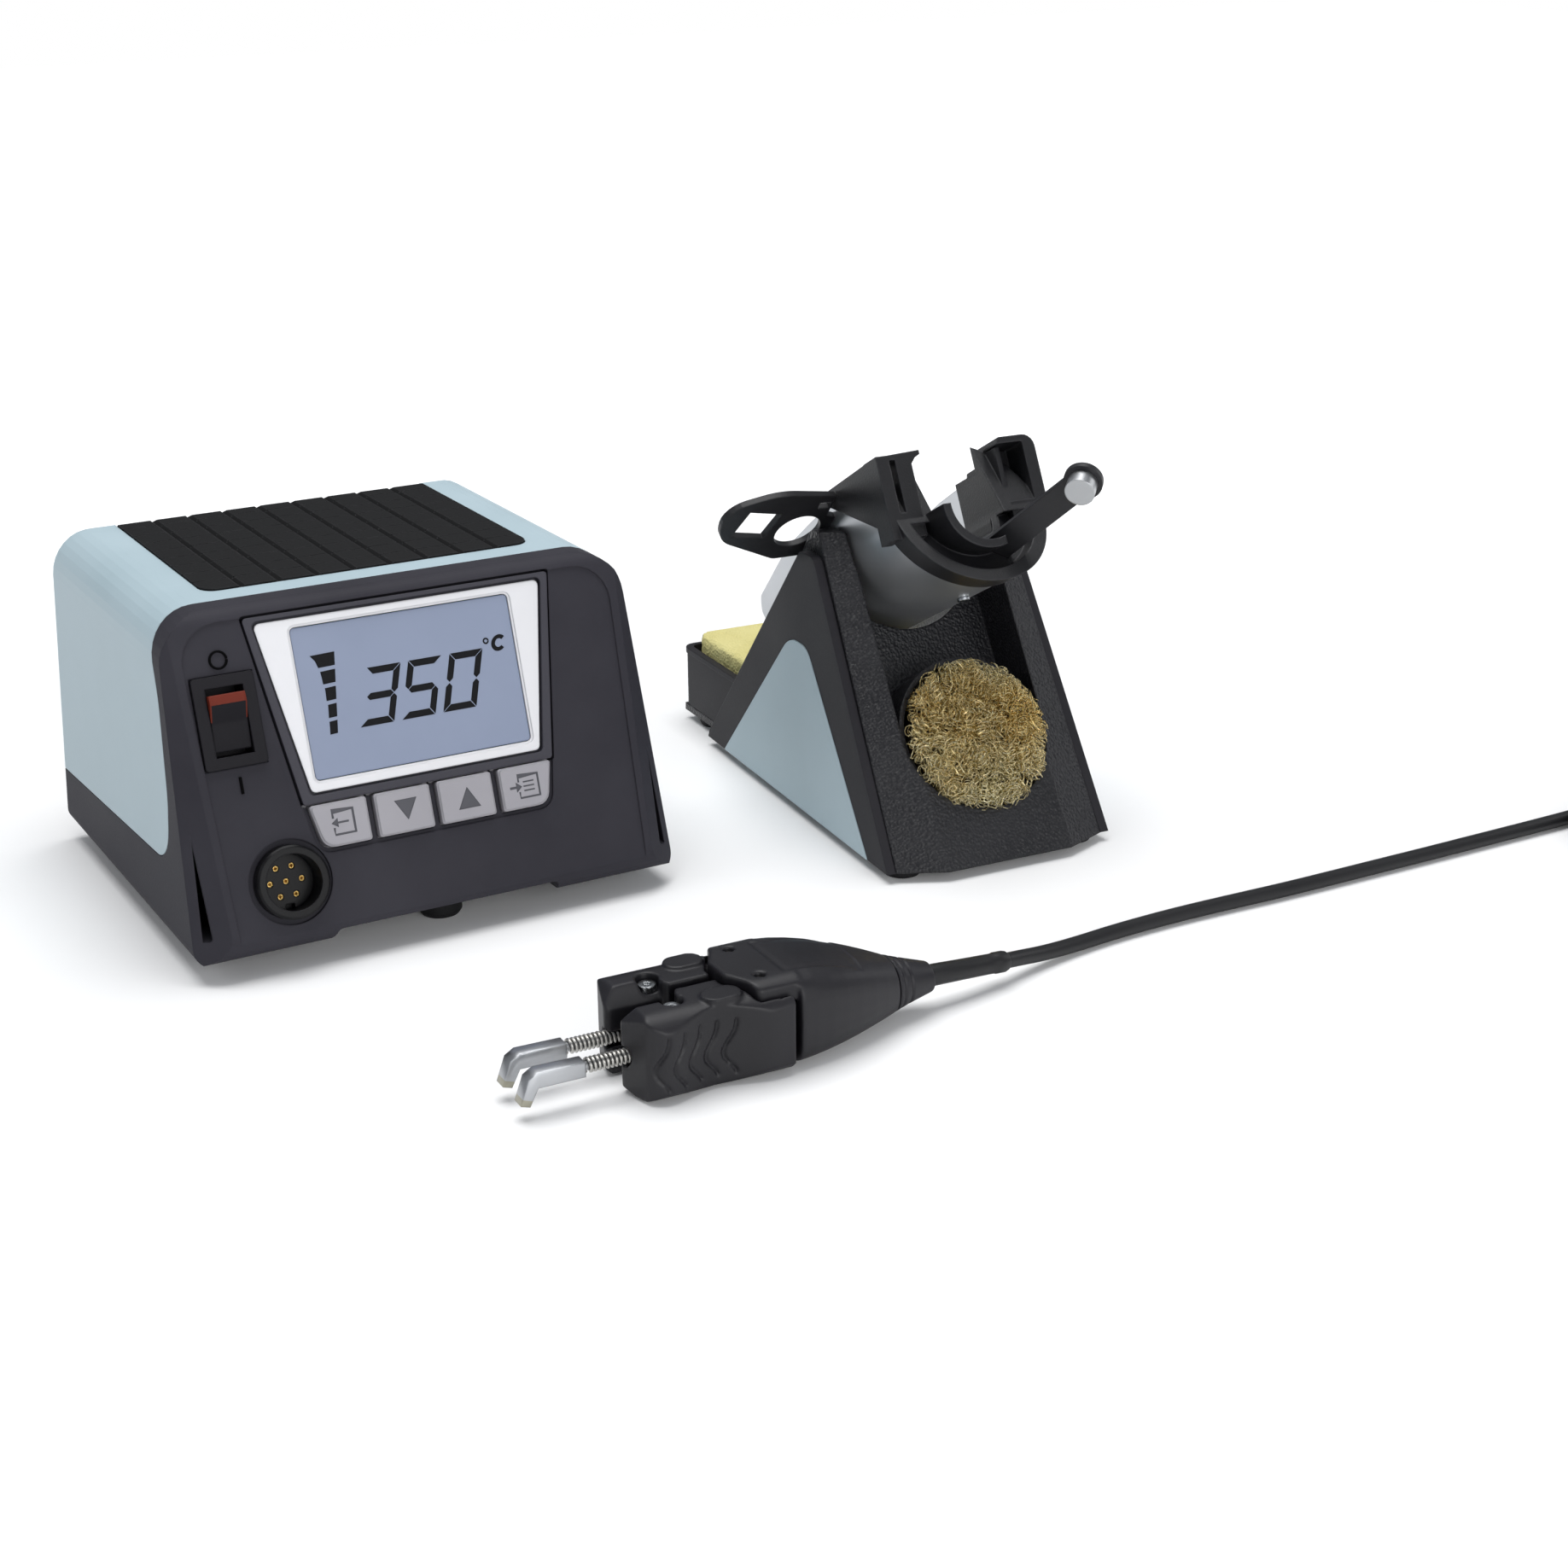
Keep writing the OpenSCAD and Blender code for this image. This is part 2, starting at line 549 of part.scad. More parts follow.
module transformer_coil() at_unit() color("#a4532a") translate([core_at.x, core_at.y, core_at.z + core_size.z / 2]) difference() {
  cube([core_size.x - core_leg - 3, coil_size.y, core_size.z - core_leg - 1.4], center = true);
  cube([core_leg + 2.2, core_size.y + 0.4, core_size.z], center = true);
  for (s = [-1, 1]) translate([s * (core_size.x / 2 + 4.5), 0, 0])
    cube([core_leg + 4, core_size.y + 0.4, core_size.z], center = true);
}

board_size = [unit_w * 0.4, unit_d * 0.56, 1.6];
board_at = [-unit_w / 2 + 12 + board_size.x / 2, unit_rear - 26 - board_size.y / 2, bay_floor_z + 5];
stud_in = 3;
can_r = 8;
choke_size = [14, 18, 12];
relay_size = [20, 12, 10];
module power_board() at_unit() color("#2c6a3c") translate(board_at) {
  translate([-board_size.x / 2, -board_size.y / 2, 0]) cube(board_size);
  for (sx = [-1, 1], sy = [-1, 1])
    translate([sx * (board_size.x / 2 - stud_in), sy * (board_size.y / 2 - stud_in), -4.8])
      cylinder(r = 2.5, h = 5, $fn = 24);
  translate([-board_size.x / 4, -board_size.y / 4, board_size.z - 0.1]) cylinder(r = can_r, h = 22, $fn = 48);
  translate([2, -board_size.y / 4, board_size.z - 0.1]) cylinder(r = can_r * 0.75, h = 16, $fn = 48);
  translate([board_size.x / 2 - choke_size.x - 3, -board_size.y / 4, board_size.z - 0.1]) cube(choke_size);
  translate([-board_size.x / 2 + 3, board_size.y / 4, board_size.z - 0.1]) cube(relay_size);
}

module heat_sink() at_unit() color("#8d9094") translate([board_at.x + 4, board_at.y + 2, board_at.z + 1.8]) {
  cube([20, 3, 24]);
  for (i = [0:3]) translate([i * 5.6, 3 - eps, 0]) cube([1.4, 9, 24]);
}

// Stand: drawn about the middle of its foot, +Y to the rear.
stand_clear = 3;
stand_front = -stand_d / 2;
apron_out = 6.5;
apron_half = 22;
side_lean = 1;
side_taper = 2;
apex_top = 10;
apex_y = stand_front + (stand_h - stand_clear) * tan(stand_front_lean) + apex_top;
leg_h = stand_h + 7;
leg_top = 10.4;
shelf_len = 31;
shelf_t = 2.6;
shelf_rear = -stand_front + shelf_len;
tray_front = shelf_rear - tray_l;
tray_z = stand_clear + shelf_t + seat_gap;
bay_r = bay_w / 2;
cup_depth = 20;
cup_wall = 1.6;
pivot_y = apex_y + 1.4;
pivot_z = stand_h - 5;

// The two sides lean inwards and close in towards the rear.
module between_sides(inset = 0) intersection_for (s = [-1, 1])
  translate([s * (stand_w / 2 - inset), stand_front, stand_clear]) rotate([0, -s * side_lean, s * side_taper])
    translate([s > 0 ? -stand_w * 2 : 0, -60, -10]) cube([stand_w * 2, stand_d + 160, stand_h + 60]);

// Places children on the leaning front: x across, y up the slope from the foot, z out of it.
module on_front() translate([0, stand_front - apron_out, stand_clear])
  rotate([90 - stand_front_lean, 0, 0]) children();

module side_profile() across(stand_w * 1.5) polygon(rounded([
  [stand_front, stand_clear], [-stand_front, stand_clear], [-stand_front - 1.5, stand_clear + 3],
  [apex_y, stand_h], [apex_y - apex_top, stand_h]], [0, 0, 2, 4.5, 4.5], 6));

leg_rear = tray_front - 1.5;
// Each leg rises above its side frame and carries the pivot near its rounded top.
leg_front = stand_front - apron_out + (leg_h - stand_clear) * tan(stand_front_lean);
module leg_profile() across(stand_w * 1.5) polygon(rounded([
  [stand_front - apron_out, stand_clear], [leg_rear, stand_clear], [leg_rear, stand_h * 0.45],
  [pivot_y + 3.75, pivot_z + 2.7], [leg_front + leg_top, leg_h], [leg_front, leg_h]], [0, 0, 0, 3, 4, 6], 6));

// The channel between the legs is round like the guard and leaves room for it to tilt.
tilt_room = 13;
channel_low = 25.5;
module guard_channel() intersection() {
  for (tilt = [guard_slope - tilt_room, guard_slope + tilt_room])
    translate([0, pivot_y, pivot_z]) rotate([-tilt, 0, 0]) guard_trough(bay_w / 2 + 0.3, -stand_d, stand_d, stand_h);
  translate([-bay_w, -stand_d * 2, channel_low]) cube([bay_w * 2, stand_d * 4, stand_h * 2]);
}

module bay() on_front() translate([0, bay_up, -cup_depth]) linear_extrude(cup_depth + 30) union() {
  circle(r = bay_r, $fn = 96);
  translate([-bay_r, 0]) square([bay_w, stand_h * 2]);
}

module stand_body() at_stand() color("#2a2a2c") union() {
  difference() {
    intersection() {
      leg_profile();
      between_sides(frame_t + seat_gap);
    }
    both_sides() on_front() translate([apron_half, -40, 0]) rotate([0, 20, 0]) cube([60, 220, 60]);
    bay();
    guard_channel();
    translate([0, pivot_y, pivot_z]) rotate([0, 90, 0])
      cylinder(r = pivot_r, h = stand_w * 2, center = true, $fn = 48);
  }
  translate([-tray_w / 2, leg_rear - 10, stand_clear]) cube([tray_w, shelf_rear - 0.5 - leg_rear + 10, shelf_t]);
}

module side_frames() at_stand() color("#29292c") both_sides() difference() {
  side_slice(0, frame_t) side_profile();
  side_slice(-1, inlay_t) inlay_profile(seat_gap / 2);
}

module side_slice(from, to) intersection() {
  children();
  difference() {
    between_sides(from);
    between_sides(to);
  }
  translate([stand_w * 2, 0, 0]) cube([stand_w * 4, stand_d * 3, stand_h * 3], center = true);
}

// The pale inlay is an arch that narrows to a round top.
inlay_t = 1.4;
inlay_front = 13;
inlay_rear = 14;
inlay_top = 0.66;
module inlay_profile(grow = 0) across(stand_w * 1.5) polygon(rounded([
  [stand_front + inlay_front - grow, stand_clear - 1], [-stand_front - inlay_rear + grow, stand_clear - 1],
  [apex_y + 7 + grow, stand_h * inlay_top + grow], [apex_y - 6 - grow, stand_h * inlay_top + grow]],
  [0, 0, 14, 9], 8));

module side_inlays() at_stand() color(pale_blue) both_sides()
  side_slice(-0.2, inlay_t - seat_gap / 2) intersection() {
    inlay_profile();
    translate([0, 0, stand_h + stand_clear]) cube([stand_w * 3, stand_d * 3, stand_h * 2], center = true);
  }

stand_foot_r = 6;
function stand_foot_places() = [[-stand_w / 2 + 9, stand_front + 7], [stand_w / 2 - 9, stand_front + 7],
  [-tray_w / 2 + 7, shelf_rear - 12], [tray_w / 2 - 7, shelf_rear - 12]];
module stand_feet() at_stand() color("#1c1c1d") for (p = stand_foot_places()) translate([p.x, p.y, 0]) {
  cylinder(r1 = stand_foot_r - 0.6, r2 = stand_foot_r, h = 1, $fn = 40);
  translate([0, 0, 1]) cylinder(r = stand_foot_r, h = stand_clear - 1.05, $fn = 40);
}

module wool_cup() at_stand() color("#202022") on_front() translate([0, bay_up, 0]) difference() {
  translate([0, 0, -cup_depth + seat_gap]) cylinder(r = bay_r - seat_gap, h = cup_depth - 3, $fn = 96);
  translate([0, 0, -cup_depth + 2]) cylinder(r = bay_r - seat_gap - cup_wall, h = cup_depth, $fn = 96);
}

wool_r = bay_r - seat_gap - cup_wall - 0.3;
wool_crown = 8;
module brass_wool() at_stand() color("#c9a24a") on_front() translate([0, bay_up, -cup_depth + 2.3])
  rotate_extrude($fn = 40) polygon(concat([[0, 0], [wool_r, 0]], [for (a = [0:10:90])
    [wool_r * sqrt(cos(a)), cup_depth - 4 + wool_crown * sin(a)]]));

module sponge_tray() at_stand() color("#2a2a2d") translate([0, tray_front + tray_l / 2, tray_z]) difference() {
  union() {
    linear_extrude(tray_h) polygon(rounded(box_outline(tray_w, tray_l), 4, 4));
    translate([0, 0, tray_h - 2]) linear_extrude(2) polygon(rounded(box_outline(tray_w + 1.2, tray_l), 4.4, 4));
  }
  translate([0, 0, tray_wall]) linear_extrude(tray_h)
    polygon(rounded(box_outline(tray_w - tray_wall * 2, tray_l - tray_wall * 2), 3, 4));
}

module sponge() at_stand() color("#d9c763") translate([0, tray_front + tray_l / 2, tray_z + tray_wall + 0.2])
  linear_extrude(sponge_t) polygon(rounded(box_outline(tray_w - tray_wall * 2 - 3, tray_l - tray_wall * 2 - 2), 5, 4));

// Holder: y runs down the guard from the pivot and z is square to it.
module at_holder() at_stand() translate([0, pivot_y, pivot_z]) rotate([-guard_slope, 0, 0]) children();
guard_r = guard_w / 2;
mouth_lean = 64;
mouth_front = -49.5;
guard_front = mouth_front + mouth_t;
guard_rear = guard_front + guard_len - 12;
cheek_t = 3;
cheek_z = 16;

module guard_trough(r, from, to, high) translate([0, to, 0]) rotate([90, 0, 0]) linear_extrude(to - from) union() {
  circle(r = r, $fn = 96);
  translate([-r, 0]) square([r * 2, high]);
}

// The mouth leans: its lowest point lies further forward than its sides.
module behind_mouth(y) translate([0, y, 0]) rotate([mouth_lean - 90, 0, 0])
  translate([-60, 0, -80]) cube([120, 200, 160]);

module guard_shell() at_holder() color("#8b9296") difference() {
  intersection() {
    difference() {
      guard_trough(guard_r, mouth_front - 20, guard_rear, 40);
      guard_trough(guard_r - guard_t, mouth_front - 30, guard_rear + 10, 50);
    }
    behind_mouth(guard_front);
    across(guard_w + 4) polygon(rounded([[mouth_front - 20, -guard_r - 5], [guard_rear - 3, -guard_r - 5],
      [guard_rear, -3], [guard_rear - 2, 2], [30, 12], [7, 15], [-8, cheek_z], [mouth_front, cheek_z],
      [mouth_front - 20, 0]], [0, 8, 4, 3, 30, 0, 0, 0, 0], 5));
  }
  rotate([0, 90, 0]) cylinder(r = pivot_r + run_gap, h = guard_w * 2, center = true, $fn = 48);
  translate([0, guard_screw_y, -guard_r - 5]) cylinder(r = guard_screw_r + run_gap, h = 10, $fn = 24);
}

// Plastic mouth: a rim round the guard's front, two cheeks, a saddle and two posts.
rim_w = 4;
rim_sink = 5;
rim_out = 0.8;
post_in = 15.4;
post_low = 13.5;
post_deep = 13;
wall = 2.4;
mouth_r = guard_r + cheek_t;
guard_screw_y = guard_front + 6;
saddle_out = 12;
saddle_t = 2.6;
guard_screw_r = 1;
module holder_deck() at_holder() color("#232325") difference() {
  union() {
    difference() {
      intersection() {
        guard_trough(guard_r + rim_out, mouth_front - 20, guard_front + 2, 3);
        behind_mouth(mouth_front);
      }
      intersection() {
        guard_trough(guard_r + rim_out - rim_w, mouth_front - 40, guard_front, 0.5);
        difference() {
          behind_mouth(mouth_front - 30);
          behind_mouth(mouth_front + rim_sink);
        }
        translate([-60, -120, -80]) cube([120, 200, 78]);
      }
      behind_mouth(guard_front - 0.1);
    }
    both_sides() translate([guard_r + 0.2, 0, 0]) rotate([90, 0, 90]) linear_extrude(cheek_t - 0.2) polygon([
      [mouth_front, 0], [guard_front, 0], [-10, cheek_z - 0.5], [-12, post_h - 0.8], [mouth_front, post_h]]);
    left_post();
    right_post();
    saddle();
    screw_tab();
  }
  translate([0, mouth_front + 60, 0]) rotate([90, 0, 0]) linear_extrude(120) union() {
    circle(r = saddle_r, $fn = 64);
    translate([-saddle_r, 0]) square([saddle_r * 2, 60]);
  }
  strip_place() translate([strip_start - seat_gap, -arm_w / 2 - seat_gap, -plate_t - seat_gap])
    cube([magnet_arm_len - strip_start, arm_w + seat_gap * 2, plate_t + seat_gap * 2]);
  intersection() {
    difference() {
      guard_trough(guard_r + seat_gap, mouth_front - 20, guard_len, guard_r * 2);
      guard_trough(guard_r - guard_t - seat_gap / 2, mouth_front - 30, guard_len + 10, guard_r * 3);
    }
    behind_mouth(guard_front - 0.1);
  }
  translate([0, guard_screw_y, -guard_r - 5]) cylinder(r = guard_screw_r + run_gap, h = 10, $fn = 24);
}

// A tab inside the guard takes the screw that holds the mouth.
tab_size = [10, 24, 4];
module screw_tab() intersection() {
  translate([-tab_size.x / 2, guard_screw_y + 4.5 - tab_size.y, -guard_r]) cube(tab_size);
  translate([0, guard_screw_y - tab_size.y, 0]) rotate([-90, 0, 0])
    cylinder(r = guard_r - guard_t - seat_gap, h = tab_size.y + 5, $fn = 96);
}

// A half round trough reaches out of the mouth on the left: the tool's grip lies in it.
module saddle() translate([0, mouth_front + rim_sink + 1, 0]) rotate([90, 0, 0])
  linear_extrude(saddle_out + rim_sink + 1) difference() {
    circle(r = saddle_r + saddle_t, $fn = 64);
    translate([-40, 0.6]) square([80, 60]);
    translate([4, -60]) square([80, 120]);
  }

// The left post has a slot in its front face and a hook at its top.
module left_post() translate([0, guard_front - 0.1, 0]) rotate([90, 0, 0]) linear_extrude(mouth_t - 0.1) difference() {
  polygon([[-mouth_r, -6], [-post_in, -6], [-post_in, post_h - 3.4], [-post_in + 1.6, post_h - 1.6],
    [-post_in + 4.6, post_h - 0.2], [-post_in + 4, post_h + 0.6], [-post_in - 8, post_h], [-mouth_r, post_h]]);
  translate([-post_in - 7.4, 2]) square([2, post_h - 3.6]);
}

// The right post is a box with a round top, open to the front, with a rib inside and a lower wall beside it.
module right_post() {
  translate([0, mouth_front + post_deep, 0]) rotate([90, 0, 0]) linear_extrude(post_deep) difference() {
    polygon(rounded([[post_in, -6], [mouth_r + 1.4, -6], [mouth_r + 1.4, post_h + 1.4], [post_in, post_h + 1.4]],
      [0, 0, 4, 1], 5));
    polygon(rounded([[post_in - 1, 1], [mouth_r + 1.4 - wall, 1], [mouth_r + 1.4 - wall, post_h - 0.6],
      [post_in - 1, post_h - 0.6]], [0, 0, 3, 0], 5));
  }
  translate([post_in, mouth_front + post_deep - wall, -2]) cube([mouth_r - post_in, wall, post_h + 1]);
  translate([post_in + 0.4, mouth_front + 3, -2]) cube([1.6, post_deep - 4, post_h + 1]);
  translate([saddle_r - 0.4, mouth_front + 8, -6]) cube([post_in - saddle_r + 1, post_deep + 4, post_low + 6]);
}

// A flat strip carries the magnet out in front of the mouth.
arm_w = 8.6;
strip_start = -10;
module strip_place() translate([5, mouth_front - 3.4, -13.8]) rotate([guard_slope, 0, 0])
  rotate([117.8, -40.5, -62.5]) children();
module on_strip() at_holder() strip_place() children();
module magnet_arm() on_strip() color("#2b2b2e") {
  translate([strip_start, -arm_w / 2, -plate_t]) cube([magnet_arm_len - strip_start, arm_w, plate_t]);
  translate([magnet_arm_len, 0, -plate_t]) cylinder(r = magnet_r + 1.4, h = plate_t, $fn = 48);
}
module magnet() on_strip() color("#d4d6d8") translate([magnet_arm_len, 0, 0.05])
  cylinder(r = magnet_r, h = 5, $fn = 48);

// Flat plate for changing tips: a square hole, a round hole and a small slot, beside the guard.
plate_tilt = 50;
plate_hole_r = 7.8;
plate_hole = [-11.6, -12.8];
square_hole = 12.3;
square_at = [-27.7, -19];
square_turn = 15;
slot_size = [4, 3];
slot_at = [-6, -25.2];
plate_in = -guard_r - 0.1;
plate_long = 38.6;
plate_high = 33.6;
neck = 3.3;
module tool_plate() at_stand() translate([0, pivot_y + 11, pivot_z + 2]) rotate([-plate_tilt, 0, 0])
  translate([plate_in, 0, -plate_t]) color("#2e2e31") difference() {
    linear_extrude(plate_t) polygon(rounded([[0, 1], [0, -18], [-neck, -19.5], [-neck, -plate_high + 4.2],
      [-plate_long * 0.6, -plate_high], [-plate_long - 2.6, -plate_high + 5], [-plate_long - 1, -plate_high * 0.4],
      [-plate_long * 0.42, 1]], [0, 0, 0, 0, 24, 9, 12, 5], 6));
    translate([plate_hole.x, plate_hole.y, -5]) cylinder(r = plate_hole_r, h = 20, $fn = 64);
    translate([square_at.x, square_at.y, -5]) rotate(square_turn) linear_extrude(20)
      square(square_hole, center = true);
    translate([slot_at.x, slot_at.y, -5]) linear_extrude(20) square(slot_size, center = true);
  }

module holder_screws() at_holder() color("silver") translate([0, guard_screw_y, -guard_r - 1]) {
  cylinder(r = 2, h = 0.9, $fn = 32);
  cylinder(r = guard_screw_r, h = 3.4, $fn = 24);
}

module pivot_pins() at_stand() color("#3a3a3d") both_sides() translate([guard_r - guard_t - 1, pivot_y, pivot_z])
  rotate([0, 90, 0]) cylinder(r = pivot_r, h = 9, $fn = 48);

// Tweezers: +X runs from the nose to the lead, and the two arms mirror each other.
module both_arms() {
  children();
  mirror([0, 1, 0]) children();
}
nose_half = grip_half + 0.3;
waist_half = grip_half - 4.4;
hinge_x = 37;
hinge_y = 9;
arm_back = 43;
slot_half = 1.7;
nose_gap = 4;
arm_low = 0.4;
arm_high = grip_h - 1;
lug_low = 5.4;
lug_high = 19.4;
shell_x = arm_back + 1.3 + swing_gap;
tail_x = 80;
tail_end = 93;

nose_x = -1.4;
function arm_plan(less = 0) = rounded([[nose_x, nose_gap], [15, nose_gap], [16, slot_half], [arm_back, slot_half],
  [arm_back, grip_half - 0.4 - less], [36, grip_half - less], [21, waist_half - less], [7, nose_half - less],
  [2, nose_half - 2.6 - less]], [1.5, 1, 0, 0, 0.6, 10, 16, 6, 4], 6);

module arm_form() intersection() {
  linear_extrude(arm_high + 1) polygon(arm_plan());
  translate([-1, 0, 0]) rotate([90, 0, 90]) linear_extrude(60) polygon(rounded([
    [0, arm_low], [grip_half + 1, arm_low], [grip_half + 1, arm_high - 4], [grip_half - 5, arm_high], [0, arm_high]],
    [0, 7, 8, 8, 0], 5));
  rotate([90, 0, 0]) linear_extrude(80, center = true) polygon(rounded([
    [nose_x - 0.4, 2.4], [1, arm_low - 0.2], [60, arm_low - 0.2], [60, arm_high], [2.6, arm_high],
    [nose_x - 0.4, arm_high - 5]], [2, 2, 0, 0, 2, 3], 4));
}

// Five curved finger grooves run down the outer side of each arm.
grooves = 5;
groove_pitch = 5;
groove_first = 6.6;
groove_w = 1.1;
groove_deep = 0.8;
groove_low = 3.4;
groove_high = arm_high - 4.8;
groove_steps = 14;
function groove_bend(t) = -1.6 + 1.8 * cos(360 * pow(t, 1.4));
function groove_side(s) = [for (i = [0:groove_steps]) let (t = i / groove_steps)
  [groove_bend(t) + s * groove_w / 2, groove_high + (groove_low - groove_high) * t]];
function groove_outline() = let (back = groove_side(-1))
  concat(groove_side(1), [for (i = [groove_steps:-1:0]) back[i]]);
module finger_grooves() difference() {
  for (k = [0:grooves - 1]) translate([groove_first + k * groove_pitch, grip_half + 5, 0]) rotate([90, 0, 0])
    linear_extrude(14) polygon(groove_outline());
  linear_extrude(arm_high * 3, center = true) polygon(arm_plan(groove_deep));
}

pad_at = [24.6, 11.2];
pad_size = [11, 7.6];
valley = [3, 5.2];
arm_screw_x = 12.5;
arm_screw_y = 7.6;
tip_y = tip_gap / 2 + tip_w / 2;
tip_z = 10.5;

module arm() difference() {
  union() {
    difference() {
      arm_form();
      translate([0, 0, lug_high]) linear_extrude(20) polygon(tongue_outline(swing_gap + 0.1, 20));
      translate([lug_front - 1, -1, -1]) cube([60, lug_w / 2 + swing_gap + 1.3, lug_low + 1]);
    }
    translate([pad_at.x, pad_at.y, arm_high - 4]) linear_extrude(4.9)
      polygon(rounded(box_outline(pad_size.x, pad_size.y), pad_size.y / 2 - 0.1, 8));
  }
  finger_grooves();
  translate([nose_x - 1, 0, 0]) rotate([90, 0, 90]) linear_extrude(16 - nose_x)
    polygon([[0, arm_high - valley.y - 2], [nose_gap, arm_high - valley.y], [nose_gap + valley.x, arm_high + 0.1],
      [nose_gap + valley.x, arm_high + 5], [0, arm_high + 5]]);
  translate([hinge_x, hinge_y, -1]) cylinder(r = hinge_r + run_gap, h = 40, $fn = 32);
  translate([arm_screw_x, arm_screw_y, arm_high - 3.6]) cylinder(r = 3.1, h = 10, $fn = 32);
  translate([arm_screw_x, arm_screw_y, arm_high - 9]) cylinder(r = 1.3, h = 10, $fn = 24);
  translate([-4, tip_y, tip_z]) rotate([0, 90, 0]) cylinder(r = spring_r + 0.5, h = 10.5, $fn = 32);
  translate([-4, tip_y, tip_z]) rotate([0, 90, 0]) cylinder(r = stem_r + run_gap, h = 14, $fn = 24);
  translate([spread_x - 3.5, -1, spread_z - 4]) cube([7, spread_half + 1.7, 8]);
}

module left_arm() at_tool() color("#26262a") arm();
module right_arm() at_tool() color("#26262a") mirror([0, 1, 0]) arm();

module arm_screw() translate([arm_screw_x, arm_screw_y, arm_high - 8.6]) difference() {
  union() {
    cylinder(r = 1.25, h = 6, $fn = 24);
    translate([0, 0, 5.1]) cylinder(r = 2.4, h = 1.8, $fn = 40);
  }
  translate([0, 0, 6.2]) cylinder(r = 1.1, h = 3, $fn = 6);
}
module left_screw() at_tool() color("silver") arm_screw();
module right_screw() at_tool() color("silver") mirror([0, 1, 0]) arm_screw();

// A tip is a flat bar with a bent end, on a round stem that carries its spring.
stem_r = 1.3;
bar_end = -12;
module tip() translate([0, tip_y, 0]) {
  translate([0, tip_w / 2, 0]) rotate([90, 0, 0]) linear_extrude(tip_w) polygon([
    [bar_end, tip_z - 2.2], [bar_end, tip_z + 2], [bar_end - bar_len + 1, tip_z + 2.2],
    [bar_end - bar_len - 1.6, tip_z + 0.6], [bar_end - bar_len - 4, 4.4], [bar_end - bar_len - 1.4, 3.6],
    [bar_end - bar_len + 1, tip_z - 2.2]]);
  translate([bar_end - 1, 0, tip_z]) rotate([0, 90, 0]) cylinder(r = stem_r, h = 22, $fn = 24);
}
module left_tip() at_tool() color("#c4c6ca") tip();
module right_tip() at_tool() color("#c4c6ca") mirror([0, 1, 0]) tip();

module tip_spring() translate([bar_end + 0.1, tip_y, tip_z]) rotate([0, 90, 0]) {
  turns = 14;
  pitch = (-bar_end + 6) / turns;
  for (i = [0:turns - 1]) translate([0, 0, (i + 0.5) * pitch]) rotate_extrude($fn = 32)
    translate([(spring_r + stem_r + 0.1) / 2, 0])
      square([spring_r - stem_r - 0.1, pitch * 0.72], center = true);
}
module left_spring() at_tool() color("#9da0a4") tip_spring();
module right_spring() at_tool() color("#9da0a4") mirror([0, 1, 0]) tip_spring();

// The grip's shell narrows from the seam to the tail; its rings are rounded boxes.
function blend(a, b, t) = a + (b - a) * t;
function shell_part(x) = max(0, min(1, (x - shell_x) / (tail_x - shell_x)));
function shell_half(x) = x > tail_x ? blend(8, 4.4, (x - tail_x) / (tail_end - tail_x)) :
  blend(grip_half - 1, 8, pow(shell_part(x), 1.7));
function shell_high(x) = x > tail_x ? blend(18, 13.6, (x - tail_x) / (tail_end - tail_x)) :
  blend(grip_h + 1.6, 18, pow(shell_part(x), 1.8));
function shell_low(x) = x > tail_x ? blend(2.4, 5, (x - tail_x) / (tail_end - tail_x)) :
  blend(0, 2.4, pow(shell_part(x), 1.6));
function shell_power(x) = blend(4.4, 2, min(1, (x - shell_x) / 40));
function signed_power(v, p) = sign(v) * pow(abs(v), p);
function shell_ring(x, grow = 0, n = 32) = let (half = shell_half(x) + grow, high = shell_high(x) + grow,
    low = shell_low(x) - grow, p = 2 / shell_power(x))
  [for (i = [0:n - 1]) let (a = 360 * i / n)
    [x, half * signed_power(cos(a), p), (high + low) / 2 + (high - low) / 2 * signed_power(sin(a), p)]];
function shell_points(stations, grow) = [for (x = stations) each shell_ring(x, grow)];
module ring_loft(points, n, rings) polyhedron(points, concat(
  [[for (i = [0:n - 1]) i]],
  [for (j = [0:rings - 2], i = [0:n - 1]) [j * n + i, (j + 1) * n + i, (j + 1) * n + (i + 1) % n, j * n + (i + 1) % n]],
  [[for (i = [n - 1:-1:0]) (rings - 1) * n + i]]), convexity = 4);
module shell_loft(stations, grow = 0) ring_loft(shell_points(stations, grow), 32, len(stations));

